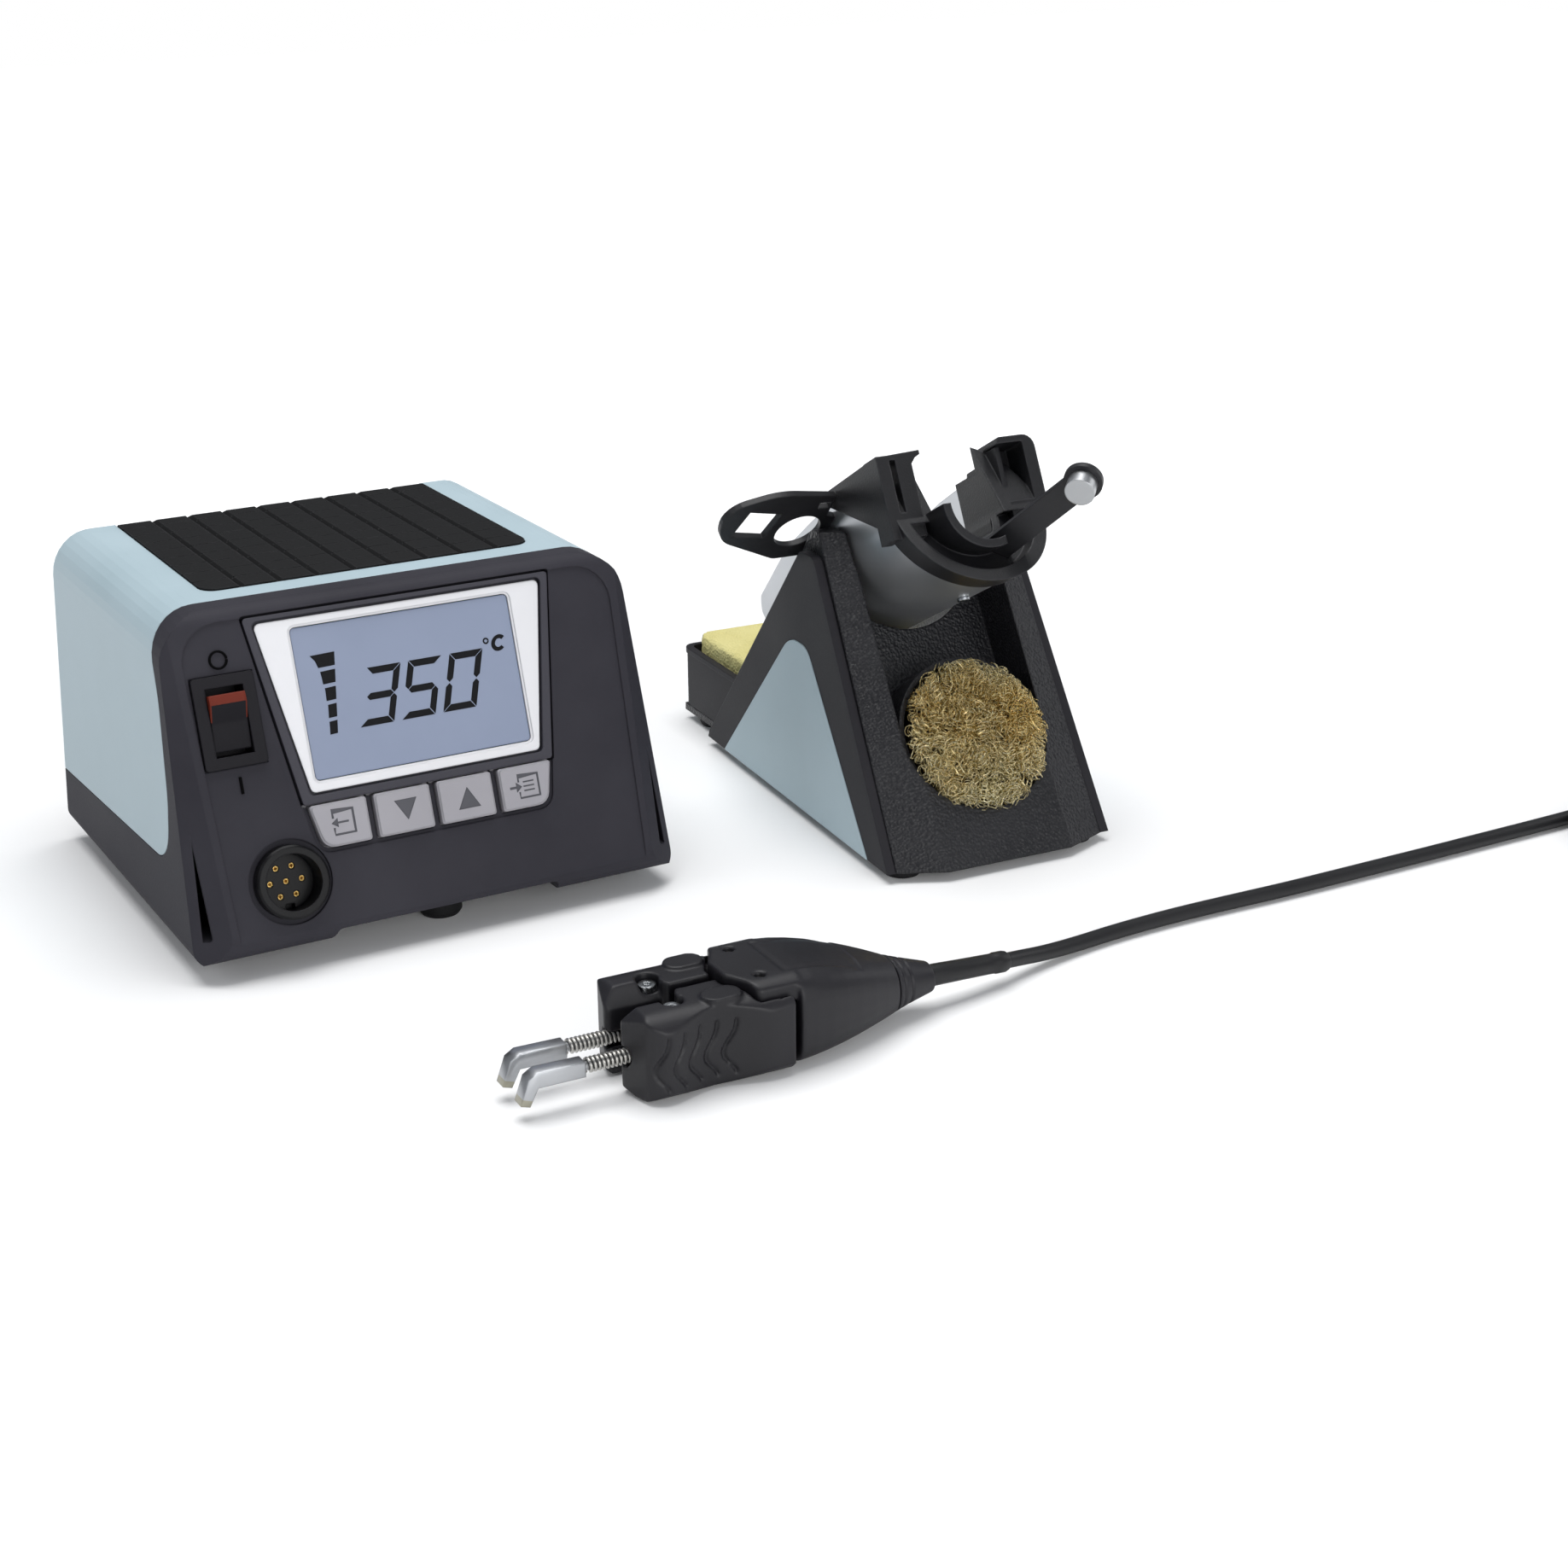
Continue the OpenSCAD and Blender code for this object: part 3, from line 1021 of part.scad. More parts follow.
shell_stations = [45, 50, 55, 60, 65, 70, 75, tail_x];
tongue_front = 28.6;
tongue_w = 30.6;
function tongue_outline(grow = 0, back = 1) = let (half = tongue_w / 2 + grow, front = tongue_front - grow) rounded([
  [front, -4.6], [front + 3.4, -10.6 - grow / 2], [front + 5, -half], [shell_x + back, -half],
  [shell_x + back, half], [front + 5, half], [front + 3.4, 10.6 + grow / 2], [front, 4.6]],
  [3, 5, 2, 0, 0, 2, 5, 3], 5);
lug_front = 30;
lug_w = 24;
module grip_housing() at_tool() color("#2a2930") difference() {
  union() {
    shell_loft(shell_stations);
    intersection() {
      translate([0, 0, lug_high + 0.4]) linear_extrude(8) polygon(tongue_outline());
      translate([0, 0, (grip_h + 1.6) / 2]) rotate([90, 0, 90]) linear_extrude(60) polygon(
        rounded(box_outline(grip_half * 2 - 2, grip_h + 1), 7, 8));
    }
    translate([lug_front, -lug_w / 2, 1.2]) cube([shell_x - lug_front + 1, lug_w, lug_low - 1.6]);
    translate([shell_x - 1, -lug_w / 2, lug_low - 1]) cube([3, lug_w, lug_high - lug_low + 2]);
  }
  both_arms() translate([hinge_x, hinge_y, -5]) cylinder(r = hinge_r, h = 60, $fn = 32);
  translate([2.5, 0, 0]) shell_loft([46, 50, 55, 60, 65, 70, 75, tail_x], -2.4);
}

module end_cap() at_tool() color("#2d2c31") difference() {
  shell_loft([tail_x + 0.1, 84, 88, 91, tail_end]);
  translate([tail_x - 4, 0, lead_z]) rotate([0, 90, 0]) cylinder(r = sleeve_r, h = 20, $fn = 40);
}

module hinge_pins() at_tool() color("#c2c4c8") {
  both_arms() translate([hinge_x, hinge_y, 1.4]) cylinder(r = hinge_r, h = grip_h - 1.4, $fn = 32);
}

spread_x = 31;
spread_z = 12.4;
spread_half = 4.2;
module spread_spring() at_tool() color("#b9bbc0") translate([spread_x, -spread_half, spread_z]) rotate([-90, 0, 0])
  rotate_extrude($fn = 32) translate([1.6, 0]) square([1, spread_half * 2]);

lead_z = 9.4;
sleeve_r = 3.2;
sleeve_route = [[88, 0, 9.4], [94, 0, 9.4], [100, 0.4, 8.9], [107, 1.3, 8.2], [114, 2.5, 7.2], [120.5, 3.8, 6.3]];
module lead_sleeve() at_tool() color("#1d1d1f") tube(sleeve_route, sleeve_r - 0.1, 16);

// The lead lies on the bench, runs off to the right and is coiled there.
cord_sides = 8;
coil_turn_r = 25;
coil_half = 7;
coil_high = 9.4;
coil_at = [294, -137.5];
cord_route = [[52.3, -112.8, 6.2], [58, -111.4, 5.2], [64.5, -110, 4.1], [72, -108.6, 3.2], [82, -107.1, 2.6],
  [94, -105.8, 2.4], [106, -105.3, 2.4], [119, -105.2, 2.4], [132, -105.6, 2.4], [145, -106.2, 2.4],
  [158, -106.8, 2.4], [172, -107.1, 2.4], [186, -107.3, 2.4], [200, -107.5, 2.4], [214, -107.7, 2.4],
  [228, -107.8, 2.4], [242, -107.9, 2.4], [256, -108, 2.4], [287, -108, 2.4]];
plug_route = [[301.1, -108, 6.5], [308, -108.2, 6.2], [315, -108.9, 4.6], [322.5, -111.3, 3], [328.5, -116, 2.6],
  [332.2, -122, 3.4], [333.8, -128, 5], [334.2, -134.4, 7.6], [334.2, -138.7, 7.8]];

function tube_ring(route, k, r, n) = let (last = len(route) - 1,
    ahead = unit_vector(route[min(k + 1, last)] - route[max(k - 1, 0)]),
    side = unit_vector(cross([0, 0, 1], ahead)), up = cross(ahead, side))
  [for (i = [0:n - 1]) let (a = 360 * (i + 0.5) / n) route[k] + r / cos(180 / n) * (cos(a) * side + sin(a) * up)];
module tube(route, r, n = cord_sides)
  ring_loft([for (k = [0:len(route) - 1]) each tube_ring(route, k, r, n)], n, len(route));

module cord() color("#1a1a1c") {
  tube(cord_route, cord_r);
  tube(plug_route, cord_r);
}

// Where the lead joins the coil, a step in its outer turn takes the end of the lead.
coil_step_x = 6.7;
coil_step_y = 26.3;
module cord_coil() color("#1a1a1c") translate([coil_at.x, coil_at.y, 0.1]) difference() {
  rotate_extrude($fn = 64) translate([coil_turn_r, 0]) polygon(rounded([[-coil_half, 0], [coil_half, 0],
    [coil_half, coil_high], [-coil_half, coil_high]], 3, 4));
  translate([-40 - coil_step_x, coil_step_y, -1]) cube([40, 20, 6]);
  translate([coil_step_x, coil_step_y, 3.8]) cube([40, 20, 10]);
}

plug_r = 7.6;
module at_plug() translate([334.2, -139, plug_r + 0.2]) rotate([90, 0, 0]) children();
module plug_body() at_plug() color("#202023") difference() {
  union() {
    cylinder(r1 = 3.2, r2 = 4.6, h = 12, $fn = 40);
    translate([0, 0, 12]) cylinder(r = plug_r, h = 24, $fn = 64);
    translate([0, 0, 36]) cylinder(r = plug_r - 0.9, h = 8, $fn = 64);
  }
  translate([0, 0, 37]) cylinder(r = plug_r - 2, h = 10, $fn = 64);
}
module plug_pins() at_plug() color("gold") translate([0, 0, 37.02]) contact_spots() cylinder(r = 0.6, h = 6, $fn = 16);

// Places of the three things on the bench; the origin is under the middle of the set.
stand_at = [unit_w / 2 + unit_to_stand + stand_w / 2, unit_front + stand_set_back];
tool_y = unit_front - unit_to_tool;
set_mid = [(stand_at.x + stand_w / 2 - 0.5 - unit_w / 2) / 2, (unit_rear + tool_y - grip_half - 1) / 2];
module at_unit() translate([-set_mid.x, -set_mid.y, 0]) children();
module at_stand() at_unit() translate([stand_at.x, stand_at.y, 0]) rotate(stand_turn) children();
module at_tool() at_unit() translate([0, tool_y, 0]) rotate(tool_turn) children();

hood();
base_housing();
rear_panel();
top_mat();
display_surround();
display_frame();
lcd_panel();
display_board();
key_exit();
key_down();
key_up();
key_menu();
switch_housing();
rocker();
socket_collar();
socket_insert();
socket_contacts();
transformer_core();
transformer_coil();
power_board();
heat_sink();
mains_inlet();
inlet_pins();
fuse_drawer();
bonding_socket();
unit_feet();
base_screws();
stand_body();
side_frames();
side_inlays();
stand_feet();
wool_cup();
brass_wool();
sponge_tray();
sponge();
guard_shell();
holder_deck();
magnet_arm();
magnet();
tool_plate();
holder_screws();
pivot_pins();
grip_housing();
end_cap();
left_arm();
right_arm();
left_tip();
right_tip();
left_spring();
right_spring();
left_screw();
right_screw();
hinge_pins();
spread_spring();
lead_sleeve();
cord();
cord_coil();
plug_body();
plug_pins();
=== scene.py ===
# %% [markdown]
# # A soldering station, dressed over its solids
# The set stands on a bench: a control unit with a leaning front, a safety stand with a tilting holder,
# and tweezers whose lead runs off to the right. The solids come from the construction model and are
# loaded as a fixed frame. This script gives them their finishes, and adds what is too fine or too soft
# for a solid: the digits and icons, the curled brass wool, the sponge, the coiled springs and the lead.

# %% Load the solids
import json
import math
import random
import bmesh
import bpy
from mathutils import Euler, Matrix, Vector, noise


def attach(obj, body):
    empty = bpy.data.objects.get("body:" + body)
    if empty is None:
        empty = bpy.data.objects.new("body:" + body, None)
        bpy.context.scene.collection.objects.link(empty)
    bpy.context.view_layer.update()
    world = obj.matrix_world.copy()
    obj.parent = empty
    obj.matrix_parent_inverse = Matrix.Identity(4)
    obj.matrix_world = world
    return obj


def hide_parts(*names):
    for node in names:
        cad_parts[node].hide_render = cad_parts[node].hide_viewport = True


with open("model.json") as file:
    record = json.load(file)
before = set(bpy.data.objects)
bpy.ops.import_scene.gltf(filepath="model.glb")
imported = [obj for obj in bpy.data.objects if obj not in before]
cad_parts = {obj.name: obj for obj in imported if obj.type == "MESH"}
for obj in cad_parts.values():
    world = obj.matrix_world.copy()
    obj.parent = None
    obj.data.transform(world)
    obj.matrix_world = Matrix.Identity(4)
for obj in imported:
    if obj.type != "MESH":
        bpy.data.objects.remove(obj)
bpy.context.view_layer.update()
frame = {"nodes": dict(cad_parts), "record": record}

nodes = frame["nodes"]

# %% [markdown]
# The three things on the bench have their own axes in the construction model, in millimetres. One
# matrix for each of them turns its own coordinates into the shared frame, so a piece can be drawn
# where the maker would measure it: on the panel, on the stand's front, along the guard or the grip.

# %% Places of the three things
MM = 0.001
UNIT_W, UNIT_D, UNIT_CLEAR = 150.6, 139.5, 5.5
UNIT_LEAN, PANEL_SINK = math.radians(17.9), 0.6
STAND_W, STAND_D, STAND_GAP, STAND_BACK = 80.0, 141.0, 58.0, 38.0
STAND_TURN, STAND_LEAN, STAND_FOOT = math.radians(-3.5), math.radians(33.0), 3.0
LEG_H, LEG_STEP, PIVOT_H = 86.0, 10.0 + 1.4, 84.0
GUARD_SLOPE, FRONT_FRAME = math.radians(28.0), 6.5
TOOL_TURN, TOOL_AHEAD = math.radians(-2.0), 105.0
unit_front = -UNIT_D / 2
unit_rear = UNIT_D / 2
stand_x = UNIT_W / 2 + STAND_GAP + STAND_W / 2
stand_y = unit_front + STAND_BACK
stand_front = -STAND_D / 2
pivot_y = stand_front + LEG_H * math.tan(STAND_LEAN) + LEG_STEP
tool_y = unit_front - TOOL_AHEAD
ROW_RIGHT, ROW_FRONT = stand_x + 40.0 - 0.5, tool_y - 18.5 - 1
middle = Vector(((ROW_RIGHT - UNIT_W / 2) / 2, (unit_rear + ROW_FRONT) / 2, 0.0))


def shift(x, y, z):
    return Matrix.Translation((x, y, z))


def turn(angle, axis):
    return Matrix.Rotation(angle, 4, axis)


AT_UNIT = Matrix.Scale(MM, 4) @ shift(-middle.x, -middle.y, 0)
ON_PANEL = (AT_UNIT @ shift(0, unit_front, UNIT_CLEAR) @ turn(math.pi / 2 - UNIT_LEAN, "X")
            @ shift(0, 0, -PANEL_SINK))
AT_STAND = AT_UNIT @ shift(stand_x, stand_y, 0) @ turn(STAND_TURN, "Z")
ON_FRONT = (AT_STAND @ shift(0, stand_front - FRONT_FRAME, STAND_FOOT)
            @ turn(math.pi / 2 - STAND_LEAN, "X"))
AT_HOLDER = AT_STAND @ shift(0, pivot_y, PIVOT_H) @ turn(-GUARD_SLOPE, "X")
AT_TOOL = AT_UNIT @ shift(0, tool_y, 0) @ turn(TOOL_TURN, "Z")
print("pivot of the guard, mm:", [round(v * 1000, 1) for v in AT_HOLDER.to_translation()])

# %% [markdown]
# The photograph was taken from the left of the set, a little above it, with a longish lens. The
# camera's place was worked out from the straight edges of the control unit, so it is written here as
# a point and three directions. Keeping the lens and the place apart from each other matters: a wide
# lens close by would give the same framing with a quite different perspective.

# %% Camera
CAMERA_AT = Vector((-321.17, -643.12, 303.46))
LENS, SENSOR = 58.33, 36.0
azimuth, elevation, roll = math.radians(-29.7), math.radians(20.7), -0.009
camera_back = Vector((math.sin(azimuth) * math.cos(elevation),
                      -math.cos(azimuth) * math.cos(elevation), math.sin(elevation)))
camera_right = Vector((math.cos(azimuth), math.sin(azimuth), 0.0))
camera_up = camera_back.cross(camera_right)
right = camera_right * math.cos(roll) + camera_up * math.sin(roll)
up = camera_up * math.cos(roll) - camera_right * math.sin(roll)
camera_data = bpy.data.cameras.new("camera")
camera_data.lens = LENS
camera_data.sensor_width = SENSOR
camera_data.sensor_fit = "HORIZONTAL"
camera_data.clip_start, camera_data.clip_end = 0.01, 20.0
camera = bpy.data.objects.new("camera", camera_data)
camera.matrix_world = Matrix((right, up, camera_back)).transposed().to_4x4()
camera.matrix_world.translation = CAMERA_AT * MM
bpy.context.scene.collection.objects.link(camera)
bpy.context.scene.camera = camera
print("camera looks along", [round(v, 3) for v in -camera_back])

# %% [markdown]
# A new piece is always finished in the same way: its mesh is drawn in the millimetres of the thing it
# belongs to, then moved into the shared frame once, so its object stays at the origin, unturned and
# unscaled. The helpers below do that, give it a finish and smooth shading, and let it ride on a body.

# %% Helpers for new pieces
def mesh_object(name, bm, place=None, body="base", material=None, smooth=35.0):
    if place is not None:
        bmesh.ops.transform(bm, matrix=place, verts=bm.verts)
    data = bpy.data.meshes.new(name)
    bm.to_mesh(data)
    bm.free()
    piece = bpy.data.objects.new(name, data)
    bpy.context.scene.collection.objects.link(piece)
    data.shade_smooth()
    if smooth < 180:
        data.set_sharp_from_angle(angle=math.radians(smooth))
    if material is not None:
        data.materials.append(material)
    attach(piece, body)
    return piece


def tidy(bm, distance=0.0005):
    bmesh.ops.remove_doubles(bm, verts=bm.verts, dist=distance)
    bmesh.ops.recalc_face_normals(bm, faces=bm.faces)
    return bm


def outline_face(bm, points, z=0.0):
    return bm.faces.new([bm.verts.new((p[0], p[1], z)) for p in points])


def slab(bm, points, low, high):
    face = outline_face(bm, points, low)
    raised = bmesh.ops.extrude_face_region(bm, geom=[face])
    top = [v for v in raised["geom"] if isinstance(v, bmesh.types.BMVert)]
    bmesh.ops.translate(bm, vec=(0, 0, high - low), verts=top)
    bmesh.ops.recalc_face_normals(bm, faces=bm.faces)
    return top


def soften(bm, width, segments=2, angle=30.0):
    sharp = [e for e in bm.edges if len(e.link_faces) == 2 and e.calc_face_angle() > math.radians(angle)]
    bmesh.ops.bevel(bm, geom=sharp, offset=width, segments=segments, profile=0.5, affect="EDGES",
                    material=-1, clamp_overlap=True)


print("helpers ready")

# %% [markdown]
# The lead is one length of soft round cable, about 1.25 m long and 4.5 mm thick. It leaves the sleeve
# behind the grip, settles on the bench and runs off to the right. What the photograph doesn't show is
# wound into a neat coil of six turns, in two layers, with its plug beside it. One curve carries the
# whole length: a round bevel keeps its thickness even, and it is made a mesh only when it is done.

# %% Route of the lead
CORD_R = 2.25
coil_x, coil_y, turn_r, turn_pitch = 294.0, -137.5, 29.5, 4.6
LYING, STACKED, SIDE_BY_SIDE = 2.4, 4.55, 2.0
bench_run = [(50.2, -113.4, 6.6), (52.3, -112.8, 6.2), (58, -111.4, 5.2), (64.5, -110, 4.1),
             (72, -108.6, 3.2), (82, -107.1, 2.6)]
bench_run += [(x, y, LYING) for x, y in (
    (94, -105.8), (106, -105.3), (119, -105.2), (132, -105.6), (145, -106.2), (158, -106.8),
    (172, -107.1), (186, -107.3), (200, -107.5), (214, -107.7), (228, -107.8), (242, -107.9),
    (256, -108), (268, -108), (278, -108))]
to_plug = [(301, -108, 6.9), (308, -108.2, 6.4), (315, -108.9, 4.9), (322.5, -111.3, 3.2),
           (328.5, -116, 2.8), (332.2, -122, 3.5), (333.8, -128, 5), (334.2, -134.4, 7.4),
           (334.2, -138.9, 7.8)]


def coil_turns(turns=6, steps=24):
    points = []
    first, last = 103.4, 90.0 - 360.0 * turns + 2
    count = int((first - last) / 360.0 * steps)
    for i in range(count + 1):
        degrees = first + (last - first) * i / count
        wound = (90.0 - degrees) / 360.0
        whole = min(int(max(wound, 0.0)), turns - 1)
        part = max(0.0, min(1.0, (wound - whole - 0.78) / 0.2))
        part = part * part * (3 - 2 * part)
        step = whole + part
        if step <= SIDE_BY_SIDE:
            radius, height = turn_r - turn_pitch * step, LYING
        elif step <= SIDE_BY_SIDE + 1:
            radius = turn_r - turn_pitch * SIDE_BY_SIDE
            height = LYING + STACKED * (step - SIDE_BY_SIDE)
        else:
            radius = turn_r - turn_pitch * (turns - 1 - min(step, turns - 1))
            height = LYING + STACKED
        angle = math.radians(degrees)
        points.append((coil_x + radius * math.cos(angle), coil_y + radius * math.sin(angle), height))
    return points


def swept_line(points, radius, thick=None, kind="BEZIER", place=None):
    """A round tube along the points, as a mesh, and the fine line that it follows, both in metres."""
    made = []
    for depth in (0.0, radius * MM):
        data = bpy.data.curves.new("line", "CURVE")
        data.dimensions, data.resolution_u = "3D", 4
        data.bevel_depth, data.bevel_resolution, data.use_fill_caps = depth, 4, True
        spline = data.splines.new(kind)
        spots = spline.bezier_points if kind == "BEZIER" else spline.points
        spots.add(len(points) - 1)
        for i, point in enumerate(points):
            at = (place or Matrix.Scale(MM, 4)) @ Vector(point)
            spots[i].co = at if kind == "BEZIER" else (*at, 1.0)
            spots[i].radius = thick[i] if thick else 1.0
            if kind == "BEZIER":
                spots[i].handle_left_type = spots[i].handle_right_type = "AUTO"
        carrier = bpy.data.objects.new("line", data)
        bm = bmesh.new()
        bm.from_mesh(carrier.to_mesh())
        carrier.to_mesh_clear()
        bpy.data.objects.remove(carrier)
        made.append(bm)
    line = [tuple(v.co) for v in made[0].verts]
    made[0].free()
    return tidy(made[1], 0.000001), line


lead_points = bench_run + coil_turns() + to_plug
lead_bm, lead_line = swept_line(lead_points, CORD_R)
lead = mesh_object("lead_cable", lead_bm, None, "base", None, 40)
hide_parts("cord", "cord_coil")

# %% [markdown]
# The set stands on a plain pale bench under soft studio light. The floor shows itself white to the
# camera and to shiny metal, yet still takes the soft shadows under each thing. That is done with the
# Light Path node: more lamp light would wash out the pale blue of the hood instead.

# %% World light
def link_all(tree, *pairs):
    for start, end in pairs:
        tree.links.new(start, end)


def maths(tree, operation, a, b=None, clamp=False):
    node = tree.nodes.new("ShaderNodeMath")
    node.operation, node.use_clamp = operation, clamp
    for socket, value in zip(node.inputs, (a, b)):
        if isinstance(value, bpy.types.NodeSocket):
            tree.links.new(value, socket)
        elif value is not None:
            socket.default_value = value
    return node.outputs[0]


def mapped(tree, value, low, high, to_low, to_high):
    node = tree.nodes.new("ShaderNodeMapRange")
    tree.links.new(value, node.inputs["Value"])
    labels = ("From Min", "From Max", "To Min", "To Max")
    for label, number in zip(labels, (low, high, to_low, to_high)):
        node.inputs[label].default_value = number
    return node.outputs["Result"]


SKY_COLOUR, SKY_LEVEL, WHITE = (0.72, 0.75, 0.8, 1), 0.36, (1, 1, 1, 1)
world = bpy.data.worlds.new("studio")
bpy.context.scene.world = world
world.use_nodes = True
tree = world.node_tree
background = tree.nodes["Background"]
white_sky = tree.nodes.new("ShaderNodeBackground")
for sky, colour, level in ((background, SKY_COLOUR, SKY_LEVEL), (white_sky, WHITE, 1.0)):
    sky.inputs["Color"].default_value = colour
    sky.inputs["Strength"].default_value = level
sky_path = tree.nodes.new("ShaderNodeLightPath")
sky_mix = tree.nodes.new("ShaderNodeMixShader")
link_all(tree, (sky_path.outputs["Is Camera Ray"], sky_mix.inputs[0]),
         (background.outputs[0], sky_mix.inputs[1]), (white_sky.outputs[0], sky_mix.inputs[2]),
         (sky_mix.outputs[0], tree.nodes["World Output"].inputs["Surface"]))
print("world ready")

# %% [markdown]
# The bench is a plain grid just under the set. Near the set it is lit by the lamps alone, so the
# shadows stay soft and real. Further out a glow takes over, until the bench is as white as the sky
# behind it and its edge can't be seen.

# %% Bench
BENCH_SIZE, BENCH_DROP, BENCH_GREY = 3.0, -0.0002, (0.9, 0.9, 0.9, 1)
GLOW_FROM, GLOW_TO, GLOW_LOW, GLOW_HIGH = 0.3, 1.1, 0.03, 1.0
bench_bm = bmesh.new()
bmesh.ops.create_grid(bench_bm, x_segments=2, y_segments=2, size=BENCH_SIZE)
bench_mesh = bpy.data.meshes.new("bench")
bench_bm.to_mesh(bench_mesh)
bench_bm.free()
bench = bpy.data.objects.new("bench", bench_mesh)
bench.location = (0, 0, BENCH_DROP)
bpy.context.scene.collection.objects.link(bench)

bench_finish = bpy.data.materials.new("bench white")
bench_finish.use_nodes = True
tree = bench_finish.node_tree
tree.nodes.clear()
diffuse = tree.nodes.new("ShaderNodeBsdfDiffuse")
diffuse.inputs["Color"].default_value = BENCH_GREY
glow = tree.nodes.new("ShaderNodeEmission")
far = tree.nodes.new("ShaderNodeVectorMath")
far.operation = "LENGTH"
tree.links.new(tree.nodes.new("ShaderNodeNewGeometry").outputs["Position"], far.inputs[0])
fade = mapped(tree, far.outputs["Value"], GLOW_FROM, GLOW_TO, GLOW_LOW, GLOW_HIGH)
both = tree.nodes.new("ShaderNodeAddShader")
paths = tree.nodes.new("ShaderNodeLightPath")
seen = maths(tree, "MAXIMUM", paths.outputs["Is Camera Ray"], paths.outputs["Is Glossy Ray"])
pick = tree.nodes.new("ShaderNodeMixShader")
surface = tree.nodes.new("ShaderNodeOutputMaterial").inputs["Surface"]
link_all(tree, (fade, glow.inputs["Strength"]), (diffuse.outputs[0], both.inputs[0]),
         (glow.outputs[0], both.inputs[1]), (seen, pick.inputs[0]), (diffuse.outputs[0], pick.inputs[1]),
         (both.outputs[0], pick.inputs[2]), (pick.outputs[0], surface))
bench_mesh.materials.append(bench_finish)
print("bench ready")

# %% [markdown]
# Large lamps give the soft edges of studio light. The one overhead does most of the work, a second in
# front fills the leaning panel, and three weak ones give the sides and the stand's front their shine.

# %% Lamps
LAMPS = (  # name, place, aim, size, watts, colour
    ("overhead", (0.0, 0.15, 1.25), (0, 0, 0), (1.1, 0.9), 15.0, (1, 1, 1)),
    ("window_left", (-1.2, 0.1, 0.8), (-0.05, 0, 0.04), (0.7, 0.6), 1.6, (0.98, 0.99, 1)),
    ("front_fill", (0.3, -1.5, 0.6), (0.02, 0, 0.05), (1.1, 0.7), 5.5, (1, 1, 1)),
    ("low_left", (-0.12, -1.0, 0.24), (0.1, 0, 0.06), (0.5, 0.35), 2.2, (1, 1, 1)),
    ("right_edge", (1.15, -0.15, 0.5), (0.05, 0, 0.05), (0.4, 0.5), 1.3, (1, 1, 1)))
for name, place, aim, size, watts, colour in LAMPS:
    data = bpy.data.lights.new(name, "AREA")
    data.shape = "RECTANGLE"
    data.size, data.size_y = size
    data.energy = watts
    data.color = colour
    lamp = bpy.data.objects.new(name, data)
    lamp.location = place
    lamp.rotation_euler = (Vector(aim) - Vector(place)).to_track_quat("-Z", "Y").to_euler()
    bpy.context.scene.collection.objects.link(lamp)
bpy.context.scene.view_settings.view_transform = "Standard"
print("lamps:", len(LAMPS))

# %% [markdown]
# Moulded plastic is never quite flat: the mould's texture gives it a fine grain, the gloss changes a
# little from place to place, and the edges that hands touch are rubbed smoother and paler. The paler
# edges are also a painted highlight, where the light would catch them. These effects return in nearly
# every finish here, so each is a node group with named inputs, built once.

# %% Node groups for grain, and for edges made paler by rubbing and a painted highlight
def new_group(name, inputs, outputs):
    group = bpy.data.node_groups.new(name, "ShaderNodeTree")
    for label, kind, value in inputs:
        socket = group.interface.new_socket(name=label, in_out="INPUT", socket_type=kind)
        socket.default_value = value
    for label, kind in outputs:
        group.interface.new_socket(name=label, in_out="OUTPUT", socket_type=kind)
    return group, group.nodes.new("NodeGroupInput"), group.nodes.new("NodeGroupOutput")


def build_grain_group():
    group, given, result = new_group(
        "moulded grain",
        [("Grain per metre", "NodeSocketFloat", 2500.0), ("Cloud per metre", "NodeSocketFloat", 30.0),
         ("Pit share", "NodeSocketFloat", 0.4)],
        [("Height", "NodeSocketFloat"), ("Shade", "NodeSocketFloat"), ("Gloss", "NodeSocketFloat")])
    place = group.nodes.new("ShaderNodeTexCoord").outputs["Object"]
    fine = group.nodes.new("ShaderNodeTexNoise")
    fine.inputs["Detail"].default_value = 2.0
    pits = group.nodes.new("ShaderNodeTexVoronoi")
    cloud = group.nodes.new("ShaderNodeTexNoise")
    cloud.inputs["Detail"].default_value = 3.0
    for node, label in ((fine, "Grain per metre"), (pits, "Grain per metre"), (cloud, "Cloud per metre")):
        group.links.new(place, node.inputs["Vector"])
        group.links.new(given.outputs[label], node.inputs["Scale"])
    pitted = maths(group, "MULTIPLY", pits.outputs["Distance"], given.outputs["Pit share"])
    group.links.new(maths(group, "ADD", fine.outputs["Fac"], pitted), result.inputs["Height"])
    group.links.new(mapped(group, cloud.outputs["Fac"], 0.3, 0.7, 0.0, 1.0), result.inputs["Shade"])
    mixed = maths(group, "ADD", maths(group, "MULTIPLY", cloud.outputs["Fac"], 0.6),
                  maths(group, "MULTIPLY", fine.outputs["Fac"], 0.4))
    group.links.new(mapped(group, mixed, 0.3, 0.7, 0.0, 1.0), result.inputs["Gloss"])
    return group


